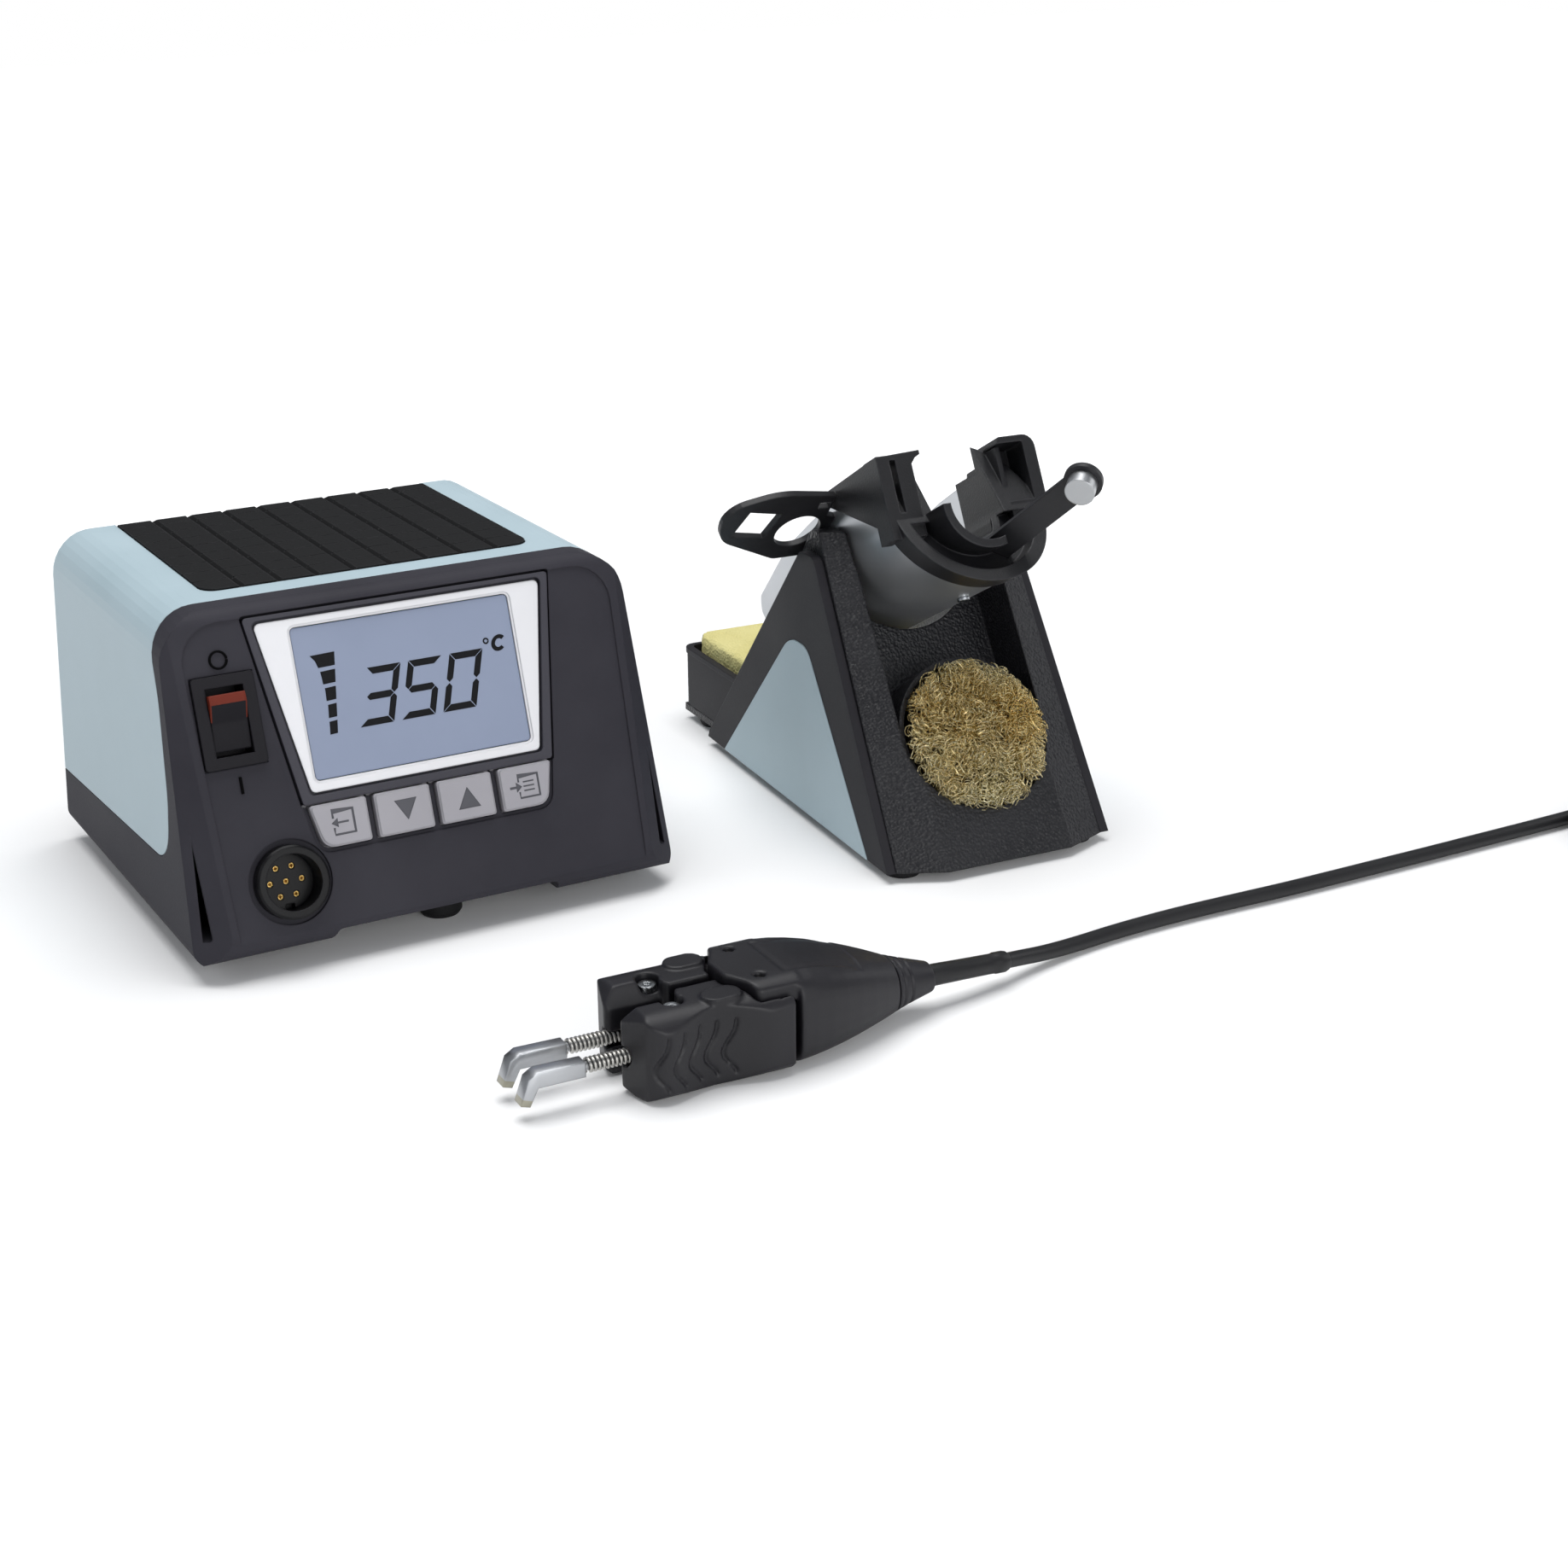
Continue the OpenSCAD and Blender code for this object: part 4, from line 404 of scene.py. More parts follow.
def build_edge_group():
    group, given, result = new_group(
        "edge wear and highlight", [("Radius", "NodeSocketFloat", 0.0006), ("Wear and highlight", "NodeSocketFloat", 1.0)],
        [("Mask", "NodeSocketFloat"), ("Normal", "NodeSocketVector")])
    rounded_edge = group.nodes.new("ShaderNodeBevel")
    rounded_edge.samples = 4
    group.links.new(given.outputs["Radius"], rounded_edge.inputs["Radius"])
    flat = group.nodes.new("ShaderNodeNewGeometry")
    dot = group.nodes.new("ShaderNodeVectorMath")
    dot.operation = "DOT_PRODUCT"
    group.links.new(rounded_edge.outputs["Normal"], dot.inputs[0])
    group.links.new(flat.outputs["Normal"], dot.inputs[1])
    bent = maths(group, "SUBTRACT", 1.0, dot.outputs["Value"], clamp=True)
    patchy = group.nodes.new("ShaderNodeTexNoise")
    patchy.inputs["Scale"].default_value = 260.0
    group.links.new(group.nodes.new("ShaderNodeTexCoord").outputs["Object"], patchy.inputs["Vector"])
    # Along the edges the colour will turn paler: partly rubbing, partly a painted highlight.
    edge_patches = maths(group, "MULTIPLY", mapped(group, bent, 0.02, 0.3, 0.0, 1.0), patchy.outputs["Fac"])
    worn_and_highlight = maths(group, "MULTIPLY", edge_patches, given.outputs["Wear and highlight"], clamp=True)
    group.links.new(worn_and_highlight, result.inputs["Mask"])
    group.links.new(rounded_edge.outputs["Normal"], result.inputs["Normal"])
    return group


grain_group = build_grain_group()
edge_group = build_edge_group()
print("groups:", [g.name for g in bpy.data.node_groups])

# %% [markdown]
# A finish is then one Principled shader with two of those groups. The plain numbers that are the same
# all over, such as how metallic it is, stay on the shader's own sockets, because the export keeps them
# only there. Colours are given as they look on a screen and turned into light values.

# %% One function for every finish
CLOUD = 30.0


def screen(code):
    values = [int(code[i:i + 2], 16) / 255 for i in (1, 3, 5)]
    return [v / 12.92 if v <= 0.04045 else ((v + 0.055) / 1.055) ** 2.4 for v in values] + [1.0]


def colour_mix(tree, share, first, second):
    node = tree.nodes.new("ShaderNodeMix")
    node.data_type = "RGBA"
    for socket, value in ((node.inputs[0], share), (node.inputs[6], first), (node.inputs[7], second)):
        if isinstance(value, bpy.types.NodeSocket):
            tree.links.new(value, socket)
        else:
            socket.default_value = value
    return node.outputs[2]


def finish(name, dark, light, rough, grain, depth, pits=0.4, metallic=0.0, edge=0.0006, wear_and_highlight=0.5,
           worn_and_highlight=None, specular=0.5, strength=0.6):
    material = bpy.data.materials.new(name)
    material.use_nodes = True
    tree = material.node_tree
    shader = tree.nodes["Principled BSDF"]
    shader.inputs["Metallic"].default_value = metallic
    shader.inputs["Specular IOR Level"].default_value = specular
    texture = tree.nodes.new("ShaderNodeGroup")
    texture.node_tree = grain_group
    for label, value in (("Grain per metre", grain), ("Cloud per metre", CLOUD), ("Pit share", pits)):
        texture.inputs[label].default_value = value
    edges = tree.nodes.new("ShaderNodeGroup")
    edges.node_tree = edge_group
    edges.inputs["Radius"].default_value = edge
    edges.inputs["Wear and highlight"].default_value = wear_and_highlight
    base = colour_mix(tree, texture.outputs["Shade"], screen(dark), screen(light))
    # Paler colour along the edges: rubbed plastic, and a painted highlight where light would catch them.
    base = colour_mix(tree, edges.outputs["Mask"], base, screen(worn_and_highlight or light))
    tree.links.new(base, shader.inputs["Base Color"])
    tree.links.new(mapped(tree, texture.outputs["Gloss"], 0.0, 1.0, *rough), shader.inputs["Roughness"])
    bump = tree.nodes.new("ShaderNodeBump")
    bump.inputs["Distance"].default_value = depth
    bump.inputs["Strength"].default_value = strength
    link_all(tree, (texture.outputs["Height"], bump.inputs["Height"]),
             (edges.outputs["Normal"], bump.inputs["Normal"]),
             (bump.outputs["Normal"], shader.inputs["Normal"]))
    return material


# Each paler edge colour below is partly rubbing and partly a painted highlight along the edges.
FINISHES = {
    "blue_plastic": finish("pale blue plastic", "#a6bac2", "#acbfc7", (0.42, 0.5), 1800, 0.00002,
                           worn_and_highlight="#c6d5da"),
    "black_plastic": finish("satin black plastic", "#1f1e22", "#262529", (0.48, 0.6), 2200, 0.00003,
                            worn_and_highlight="#3c3b40", specular=0.2),
    # The front panel's pale edge colour is kept as a painted highlight along its edges, besides rubbing.
    "front_plastic": finish("front panel plastic", "#323137", "#39383e", (0.48, 0.6), 2200, 0.00003,
                            worn_and_highlight="#4f4d55", specular=0.07),
    "panel_plastic": finish("textured panel plastic", "#37363e", "#3d3c44", (0.5, 0.6), 2200, 0.00003,
                            specular=0.3),
    # The ribbed rubber's pale edge colour is a painted highlight along the edges of its ribs.
    "rubber_mat": finish("ribbed rubber", "#0e0e0f", "#131314", (0.6, 0.75), 1500, 0.00004,
                         worn_and_highlight="#48484a", specular=0.16, wear_and_highlight=1.6, edge=0.0005),
    "silver_paint": finish("silver paint", "#d7d7da", "#dfdfe2", (0.34, 0.42), 3200, 0.00001, metallic=0.1),
    "display_glass": finish("display window", "#818ca4", "#8691a9", (0.2, 0.24), 900, 0.0, wear_and_highlight=0.0,
                            specular=0.3),
    "board_laminate": finish("board laminate", "#1f5a33", "#276b3f", (0.35, 0.45), 900, 0.00002),
    "key_plastic": finish("grey key plastic", "#949298", "#9d9ba1", (0.42, 0.5), 2600, 0.00002,
                          worn_and_highlight="#b9b9bd"),
    "switch_plastic": finish("switch plastic", "#1b1a1e", "#212024", (0.36, 0.46), 2600, 0.00002,
                             worn_and_highlight="#3a3a3e", specular=0.08),
    "gloss_black": finish("connector plastic", "#0c0c0e", "#111113", (0.26, 0.36), 2600, 0.00001,
                          worn_and_highlight="#34343a", specular=0.14),
    "gold_contact": finish("gold contact", "#c9a45c", "#dcb970", (0.24, 0.34), 2600, 0.00001, metallic=1.0),
    "core_steel": finish("varnished laminations", "#3a3b3d", "#45464a", (0.4, 0.5), 900, 0.00004,
                         metallic=0.6),
    "copper_winding": finish("winding", "#8c4a26", "#a55a30", (0.35, 0.45), 900, 0.00005, metallic=0.7),
    "aluminium_part": finish("extruded aluminium", "#8f9194", "#9c9ea1", (0.34, 0.44), 1200, 0.00002,
                             metallic=1.0),
    "nickel_part": finish("nickel plate", "#9f9f9f", "#aeadab", (0.22, 0.32), 1500, 0.00001, metallic=1.0),
    "rubber_foot": finish("foot rubber", "#101012", "#161618", (0.6, 0.72), 1500, 0.00004, specular=0.3),
    "zinc_screw": finish("bright zinc", "#a8abae", "#babcbe", (0.2, 0.3), 1500, 0.00001, metallic=1.0),
    "textured_black": finish("sparkling black plastic", "#1b1b1e", "#242427", (0.3, 0.46), 1000, 0.00028,
                             pits=0.9, worn_and_highlight="#303033", strength=1.0, edge=0.001, specular=0.3),
    "holder_plastic": finish("fine black plastic", "#151517", "#1b1b1e", (0.34, 0.46), 1900, 0.00006,
                             pits=0.7, worn_and_highlight="#47474c", edge=0.0008, specular=0.36, wear_and_highlight=1.0),
    "brass_wool": finish("brass shavings", "#f6dc96", "#fff8d2", (0.1, 0.22), 1500, 0.0, metallic=1.0,
                         wear_and_highlight=0.0),
    "sponge_cellulose": finish("cellulose", "#cfc47e", "#ddd493", (0.85, 0.95), 1000, 0.0006, pits=1.0),
    "guard_metal": finish("satin sheet metal", "#c0c3c6", "#cbcdd0", (0.27, 0.36), 2600, 0.00002,
                          metallic=0.85),
    "plate_metal": finish("coated sheet metal", "#18181a", "#1e1e21", (0.36, 0.46), 2000, 0.00003,
                          worn_and_highlight="#3c3c40", specular=0.36),
    "magnet_nickel": finish("magnet plate", "#a9abad", "#b8babc", (0.26, 0.38), 1500, 0.00002,
                            metallic=1.0),
    "grip_plastic": finish("grip plastic", "#141317", "#1b1a1f", (0.4, 0.5), 2400, 0.00002,
                           worn_and_highlight="#323136", specular=0.36),
    "tip_metal": finish("plated tip", "#a6a8ab", "#b6b8bb", (0.26, 0.4), 1200, 0.00001, metallic=1.0),
    "tinned": finish("tinned end", "#8f8c7e", "#a9a696", (0.24, 0.4), 900, 0.00005, metallic=0.7),
    "spring_steel": finish("spring wire", "#b3b1ac", "#c6c4bf", (0.25, 0.34), 1500, 0.00001, metallic=1.0),
    "cord_rubber": finish("lead sheath", "#141416", "#1a1a1c", (0.4, 0.5), 1500, 0.00002, wear_and_highlight=0.0,
                          specular=0.36),
}
OWN_FINISH = {"base_housing": "front_plastic", "holder_deck": "holder_plastic"}
slot_of = {part["node"]: part["material_slot"] for part in frame["record"]["subparts"]}
for name, solid in nodes.items():
    solid.data.materials.clear()
    solid.data.materials.append(FINISHES[OWN_FINISH.get(name, slot_of[name])])
lead.data.materials.append(FINISHES["cord_rubber"])
print("finishes:", len(FINISHES))

# %% [markdown]
# ## The control unit
# The display is lit from behind, so it has an even grey-blue glow, and its digits are printed segments
# that lie on the window. A digit of seven segments is drawn as it is in the real thing: each
# segment is a bar with mitred ends, and the whole digit leans to the right. The shapes are cut as thin
# slabs in the panel's own millimetres, from thin lines that are easy to check.

# %% Display: digits, degree sign and power bars
def top_of(name, place):
    inverse = place.inverted()
    return max((inverse @ v.co).z for v in nodes[name].data.vertices)


SEG_W, SEG_H, SEG_T, SEG_GAP, SEG_SLANT = 10.4, 16.5, 1.95, 0.16, 0.30


def segment_outlines(lit):
    w, h, t, g = SEG_W, SEG_H, SEG_T, SEG_GAP
    m = h / 2
    shapes = {
        "top": [(g, h), (w - g, h), (w - g - t, h - t), (t + g, h - t)],
        "bottom": [(g, 0), (w - g, 0), (w - g - t, t), (t + g, t)],
        "middle": [(t * 0.5 + g, m), (t + g, m + t / 2), (w - t - g, m + t / 2), (w - t * 0.5 - g, m),
                   (w - t - g, m - t / 2), (t + g, m - t / 2)],
        "left_high": [(0, h - g), (t, h - t - g), (t, m + t / 2 + g), (t * 0.5, m + g),
                      (0, m + t / 2 + g)],
        "left_low": [(0, g), (t, t + g), (t, m - t / 2 - g), (t * 0.5, m - g), (0, m - t / 2 - g)]}
    shapes["right_high"] = [(w - x, y) for x, y in shapes["left_high"]]
    shapes["right_low"] = [(w - x, y) for x, y in shapes["left_low"]]
    return [[(x + y * SEG_SLANT, y) for x, y in shapes[key]] for key in lit]


DIGITS = {3: "top right_high middle right_low bottom", 5: "top left_high middle right_low bottom",
          0: "top left_high right_high left_low right_low bottom"}
DIGIT_PLACES, DIGIT_FOOT = ((3, -17.75), (5, -5.0), (0, 7.86)), 60.6
BARS_RIGHT, BARS_TOP, BARS_LEAN = -21.4, 83.3, 0.135
BARS = (  # width above, width below, low, high, bulge of the left side
    (7.4, 5.0, 79.5, 83.3, 0.35), (4.5, 3.75, 74.7, 78.4, 0.05), (3.3, 2.95, 69.9, 73.6, 0.05),
    (2.6, 2.5, 65.0, 68.8, 0.05), (2.4, 2.3, 60.3, 64.0, 0.05))
face_n = top_of("lcd_panel", ON_PANEL)
printed = []
for digit, left in DIGIT_PLACES:
    for outline in segment_outlines(DIGITS[digit].split()):
        printed.append([(x + left, y + DIGIT_FOOT) for x, y in outline])
for above, below, low, high, bulge in BARS:
    edge = BARS_RIGHT - BARS_LEAN * (BARS_TOP - high)
    foot = edge - BARS_LEAN * (high - low)
    waist = ((edge - above + foot - below) / 2 + bulge, (high + low) / 2)
    printed.append([(edge - above, high - 0.2), (edge, high), (foot, low), (foot - below, low - 0.15),
                    waist])


def ring_outline(centre, outer, inner, start, end, steps=28, lean=0.18):
    angles = [math.radians(start + (end - start) * i / steps) for i in range(steps + 1)]
    arc = [(math.cos(a) * outer[0], math.sin(a) * outer[1]) for a in angles]
    arc += [(math.cos(a) * inner[0], math.sin(a) * inner[1]) for a in reversed(angles)]
    return [(centre[0] + x + y * lean, centre[1] + y) for x, y in arc]


INK_DEPTH, INK_RISE = 0.05, 0.06
printed.append(ring_outline((28.5, 77.9), (2.35, 2.4), (1.15, 1.25), 42, 318))
printed.append(ring_outline((24.6, 79.0), (0.95, 0.95), (0.48, 0.48), 2, 358, 20, 0.0))
ink = finish("display ink", "#07080c", "#0b0c11", (0.5, 0.6), 900, 0.0, wear_and_highlight=0.0, specular=0.15)
bm = bmesh.new()
for outline in printed:
    slab(bm, outline, face_n - INK_DEPTH, face_n + INK_RISE)
mesh_object("display_digits", tidy(bm, 0.0001), ON_PANEL, "base", ink, 10)
print("display shapes:", len(printed), "on a face at", round(face_n, 2), "mm")

# %% [markdown]
# The same slabs make the icons on the four keys, which are printed in dark grey, and the two marks
# above and below the switch, which are sunk into the panel: a ring for off and a bar for on. The two
# marks are flat slabs painted near-black, as painted shade for the inside of the grooves. A printed
# icon rides with its key, so it moves when the key is pressed.

# %% Icons on the keys and marks beside the switch
def stroke(points, width):
    half = width / 2
    left, right = [], []
    for i, point in enumerate(points):
        before = Vector(points[max(i - 1, 0)])
        after = Vector(points[min(i + 1, len(points) - 1)])
        along = (after - before).normalized()
        if 0 < i < len(points) - 1:
            into = (Vector(point) - before).normalized()
            stretch = half / max(0.4, along.dot(into))
        else:
            stretch = half
        side = Vector((-along.y, along.x)) * stretch
        left.append(tuple(Vector(point) + side))
        right.append(tuple(Vector(point) - side))
    return left + right[::-1]


ICONS = {
    "key_exit": [stroke([(-28.6, 36.7), (-28.6, 38.75), (-22.5, 38.75), (-22.5, 32.0), (-28.6, 32.0),
                         (-28.6, 34.0)], 0.62),
                 [(-29.3, 35.35), (-27.3, 36.7), (-27.3, 35.62), (-24.1, 35.62), (-24.1, 35.08),
                  (-27.3, 35.08), (-27.3, 34.0)]],
    "key_down": [[(-10.4, 38.3), (-3.5, 38.3), (-6.95, 32.2)]],
    "key_up": [[(11.45, 38.2), (14.9, 32.0), (8.0, 32.0)]],
    "key_menu": [stroke([(27.1, 36.5), (27.1, 38.3), (33.3, 38.3), (33.3, 31.8), (27.1, 31.8),
                         (27.1, 33.6)], 0.56),
                 [(28.0, 35.1), (26.2, 36.6), (26.2, 35.45), (24.2, 35.45), (24.2, 34.75),
                  (26.2, 34.75), (26.2, 33.6)],
                 stroke([(28.5, 36.4), (31.9, 36.4)], 0.42), stroke([(28.5, 35.1), (31.9, 35.1)], 0.42),
                 stroke([(28.5, 33.8), (31.9, 33.8)], 0.42)]}
ICON_SHIFT = {"key_exit": -2.6, "key_down": -2.1, "key_up": -1.4, "key_menu": -0.9}
icon_ink = finish("icon ink", "#3f3f46", "#4a4a51", (0.45, 0.55), 1600, 0.00001, wear_and_highlight=0.0)
for key, outlines in ICONS.items():
    face = top_of(key, ON_PANEL)
    bm = bmesh.new()
    for outline in outlines:
        slab(bm, [(x + ICON_SHIFT[key], y) for x, y in outline], face - 0.1, face + 0.05)
    mesh_object(key + "_icon", tidy(bm, 0.0001), ON_PANEL, key, icon_ink, 10)

# Near-black painted shade standing in for the inside of the two engraved marks.
sunk_mark_shade = finish("sunk mark painted shade", "#040405", "#070708", (0.7, 0.8), 1600, 0.00001, wear_and_highlight=0.0, specular=0.05)
off_mark = ring_outline((-55.3, 86.2), (2.7, 2.7), (2.1, 2.1), 2, 358, 40, 0.0)
on_mark = stroke([(-55.1, 53.1), (-55.1, 48.3)], 0.75)
bm = bmesh.new()
for outline in (off_mark, on_mark):
    slab(bm, outline, PANEL_SINK - 0.55, PANEL_SINK + 0.02)
mesh_object("switch_marks", tidy(bm, 0.0001), ON_PANEL, "base", sunk_mark_shade, 20)
print("icons:", list(ICONS))

# %% [markdown]
# The switch's rocker is two plastics: a black face, and a red end that stands up when the switch is
# off. The red part is a cap over the rocker's upper end with a cheek down each side. Its side view is
# drawn once and pushed out across the rocker's width, and each cheek is a thin slab of its own.

# %% Red end of the rocker
ROCKER_W = 10.4
rocker_local = [ON_PANEL.inverted() @ v.co for v in nodes["rocker"].data.vertices]
rocker_mid = (max(v.x for v in rocker_local) + min(v.x for v in rocker_local)) / 2
rocker_top = max(v.y for v in rocker_local)
rocker_out = max(v.z for v in rocker_local)
side_view = Matrix(((0, 0, 1, rocker_mid), (1, 0, 0, rocker_top), (0, 1, 0, rocker_out), (0, 0, 0, 1)))
cap_bm = bmesh.new()
half = ROCKER_W / 2
CAP_SIDE = [(-2.7, 0.05), (-0.05, -0.32), (0.05, -0.4), (0.06, -1.0), (-0.08, -6.2), (-0.5, -6.2),
            (-0.45, -0.9), (-2.7, -0.6)]
CHEEK_SIDE = [(-2.7, 0.03), (-0.02, -0.36), (-0.1, -6.0), (-6.4, -4.4), (-7.4, -2.2)]
slab(cap_bm, CAP_SIDE, -half - 0.02, half + 0.02)
for side in (-1, 1):
    inner, outer = sorted((side * (half - 0.3), side * (half + 0.05)))
    slab(cap_bm, CHEEK_SIDE, inner, outer)
red_end = finish("rocker red", "#5e251a", "#6e2c20", (0.32, 0.42), 2600, 0.00001, worn_and_highlight="#9c4a38",
                 specular=0.12)
cap_bm.normal_update()
mesh_object("rocker_red_end", cap_bm, ON_PANEL @ side_view, "rocker", red_end, 30)
print("rocker middle, top, height:", round(rocker_mid, 2), round(rocker_top, 2), round(rocker_out, 2))

# %% [markdown]
# ## The stand's soft pieces
# The cleaner in the stand's front is a ball of brass shavings: thousands of thin ribbons, each wound
# into a small helix, which catch the light as points. One curl is made by spinning a three-sided wire
# with a rise at each step. It has only a few dozen faces, because it is then repeated more than a
# thousand times, turned, resized and scattered over the ball's crown. A core inside stops the eye from
# seeing through to the cup, and it is painted dark brown as the shade deep inside the ball.

# %% Curls of brass
def helix(radius, rise, wire, turns=2.3, steps_per_turn=8):
    bm = bmesh.new()
    ring = [bm.verts.new((radius + wire * math.cos(a), 0, wire * 1.5 * math.sin(a)))
            for a in (0.4, 2.5, 4.6)]
    section = bm.faces.new(ring)
    bmesh.ops.spin(bm, geom=[section], cent=(0, 0, 0), axis=(0, 0, 1), dvec=(0, 0, rise / steps_per_turn),
                   angle=turns * math.tau, steps=int(turns * steps_per_turn), use_merge=False,
                   use_duplicate=False)
    bmesh.ops.recalc_face_normals(bm, faces=bm.faces)
    bmesh.ops.translate(bm, vec=(0, 0, -turns * rise / 2), verts=bm.verts)
    curl = bpy.data.meshes.new("curl")
    bm.to_mesh(curl)
    bm.free()
    return curl


def scatter(big, template, place):
    one = bmesh.new()
    one.from_mesh(template)
    bmesh.ops.transform(one, matrix=place, verts=one.verts)
    ready = bpy.data.meshes.new("ready")
    one.to_mesh(ready)
    one.free()
    big.from_mesh(ready)
    bpy.data.meshes.remove(ready)


wool_core = [ON_FRONT.inverted() @ v.co for v in nodes["brass_wool"].data.vertices]
wool_low, wool_high = min(v.z for v in wool_core), max(v.z for v in wool_core)
wool_side = max(v.x for v in wool_core)
WOOL_CROWN, WOOL_SAG, CURLS, SINK = 8.0, 1.3, 1350, 3.4
CORE_BELOW, CORE_INSET, CORE_FOOT, CORE_STEPS = 4.6, 2.6, 0.6, 28
wool_mid = (max(v.y for v in wool_core) + min(v.y for v in wool_core)) / 2 - WOOL_SAG
draw = random.Random(7)
curls = [helix(1.5, 1.5, 0.12), helix(1.15, 1.2, 0.11), helix(1.95, 1.7, 0.13)]
wool_bm = bmesh.new()
core_side, core_top = wool_side - CORE_INSET, wool_high - CORE_BELOW
profile = [(0, 0, core_top)]
for degrees in range(80, -10, -10):
    a = math.radians(degrees)
    profile.append((core_side * math.sqrt(math.cos(a)), 0, core_top - WOOL_CROWN * (1 - math.sin(a))))
profile += [(core_side, 0, wool_low + CORE_FOOT), (0, 0, wool_low + CORE_FOOT)]
profile = [wool_bm.verts.new(point) for point in profile]
edges = [wool_bm.edges.new(pair) for pair in zip(profile, profile[1:])]
bmesh.ops.spin(wool_bm, geom=edges, cent=(0, 0, 0), axis=(0, 0, 1), angle=math.tau, steps=CORE_STEPS,
               use_merge=True)
tidy(wool_bm, 0.01)
# The core takes the second finish: a dark brown that is painted shade between the curls.
for face in wool_bm.faces:
    face.material_index = 1
for i in range(CURLS):
    reach, around = math.sqrt(draw.random()), draw.uniform(0, math.tau)
    sink = draw.uniform(0.0, SINK)
    clump = 1.0 + 0.05 * noise.noise((math.cos(around) * 2.1, math.sin(around) * 2.1, 3.0))
    r = min((wool_side + 0.2) * reach * clump, wool_side + 0.3)
    x, y = r * math.cos(around), r * math.sin(around)
    fall = 1 - math.sqrt(max(0.0, 1 - (r / (wool_side + 0.4)) ** 4))
    height = wool_high - 1.4 - (WOOL_CROWN - 1.6) * fall
    height -= sink * (1 - 0.9 * reach ** 6) + 1.3 * noise.noise((x * 0.2, y * 0.2, 1.0))
    way = Euler((draw.uniform(0.5, 2.6), draw.uniform(-0.9, 0.9), draw.uniform(0, math.tau)))
    size = draw.uniform(0.75, 1.15)
    scatter(wool_bm, curls[i % 3], shift(x, y, height) @ way.to_matrix().to_4x4() @ Matrix.Scale(size, 4))
for curl in curls:
    bpy.data.meshes.remove(curl)
bmesh.ops.translate(wool_bm, vec=(0, wool_mid, 0), verts=wool_bm.verts)
for vert in wool_bm.verts:
    vert.co.z = min(max(vert.co.z, wool_low + 0.2), wool_high)
wool = mesh_object("wool_curls", wool_bm, ON_FRONT, "base", FINISHES["brass_wool"], 40)
# Painted shade for the wool's core: dark brown, matt, not brass.
wool_core_shade = finish("wool core painted shade", "#1d150a", "#33260f", (0.8, 0.9), 900, 0.0, wear_and_highlight=0.0, specular=0.1)
wool.data.materials.append(wool_core_shade)
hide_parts("brass_wool")
print("wool triangles:", sum(len(p.vertices) - 2 for p in wool.data.polygons))

# %% [markdown]
# The sponge lies in the drawer at the back of the stand. A cut block of cellulose has straight sides,
# softly rounded corners and a face full of pores of many sizes. Only the large pores are real dents in
# the mesh: the block is subdivided, its corners are drawn in, its face is crowned a little and pores
# are pressed in from a noise field. The small ones come from the finish.

# %% Sponge
SIDE_ROOM, TOP_ROOM, CORNER_R, RIM_R, CELL = 0.6, 1.2, 5.0, 1.6, 1.5
CROWN, DEEPEST = 0.55, 1.3
local = [AT_STAND.inverted() @ v.co for v in nodes["sponge"].data.vertices]
s_low = Vector([min(v[axis] for v in local) for axis in range(3)])
s_high = Vector([max(v[axis] for v in local) for axis in range(3)])
size = s_high - s_low
centre = (s_high + s_low) / 2
sponge_bm = bmesh.new()
bmesh.ops.create_cube(sponge_bm, size=1.0)
bmesh.ops.scale(sponge_bm, vec=size - Vector((SIDE_ROOM, SIDE_ROOM, TOP_ROOM)), verts=sponge_bm.verts)
upright = [e for e in sponge_bm.edges if abs(e.verts[0].co.z - e.verts[1].co.z) > 1.0]
bmesh.ops.bevel(sponge_bm, geom=upright, offset=CORNER_R, segments=6, profile=0.5, affect="EDGES",
                material=-1)
rims = [e for e in sponge_bm.edges if len(e.link_faces) == 2 and e.calc_face_angle() > 1.2]
bmesh.ops.bevel(sponge_bm, geom=rims, offset=RIM_R, segments=3, profile=0.5, affect="EDGES", material=-1)


def all_of(bm):
    return bm.verts[:] + bm.edges[:] + bm.faces[:]


for axis in range(3):
    steps = int(size[axis] / CELL)
    for i in range(1, steps):
        point, normal = Vector((0, 0, 0)), Vector((0, 0, 0))
        point[axis], normal[axis] = -size[axis] / 2 + size[axis] * i / steps, 1.0
        bmesh.ops.bisect_plane(sponge_bm, geom=all_of(sponge_bm), dist=0.0001, plane_co=point,
                               plane_no=normal)
for vert in sponge_bm.verts:
    p = vert.co.copy()
    across = (1 - (2 * p.x / size.x) ** 2) * (1 - (2 * p.y / size.y) ** 2)
    wide_pores = max(0.0, noise.noise(p * 0.42 + Vector((4, 1, 9))) - 0.22) * 2.4
    narrow_pores = max(0.0, noise.noise(p * 0.85) - 0.3) * 1.5
    inward = Vector((-p.x / size.x, -p.y / size.y, -p.z / size.z * 1.6))
    vert.co += inward.normalized() * min(wide_pores + narrow_pores, DEEPEST)
    if p.z > 0:
        vert.co.z += CROWN * across * (2 * p.z / size.z)
bmesh.ops.translate(sponge_bm, vec=centre, verts=sponge_bm.verts)
sponge_piece = mesh_object("sponge_block", tidy(sponge_bm, 0.002), AT_STAND, "tray",
                           FINISHES["sponge_cellulose"], 180)
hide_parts("sponge")
print("sponge mm:", [round(v, 1) for v in size], "faces:", len(sponge_piece.data.polygons))

# %% [markdown]
# ## The tweezers
# The grip is soft-edged moulded plastic, and nothing on it has a sharp corner. Its solids are exact,
# with crisp edges, so they are copied, remeshed on a fine grid and smoothed: every edge then gets the
# same small radius, also where three edges meet, which a bevel finds hard. While the points are loose,
# a few shallow forms are pressed in: a flat field on the shell's back and the ribs of the end cap.

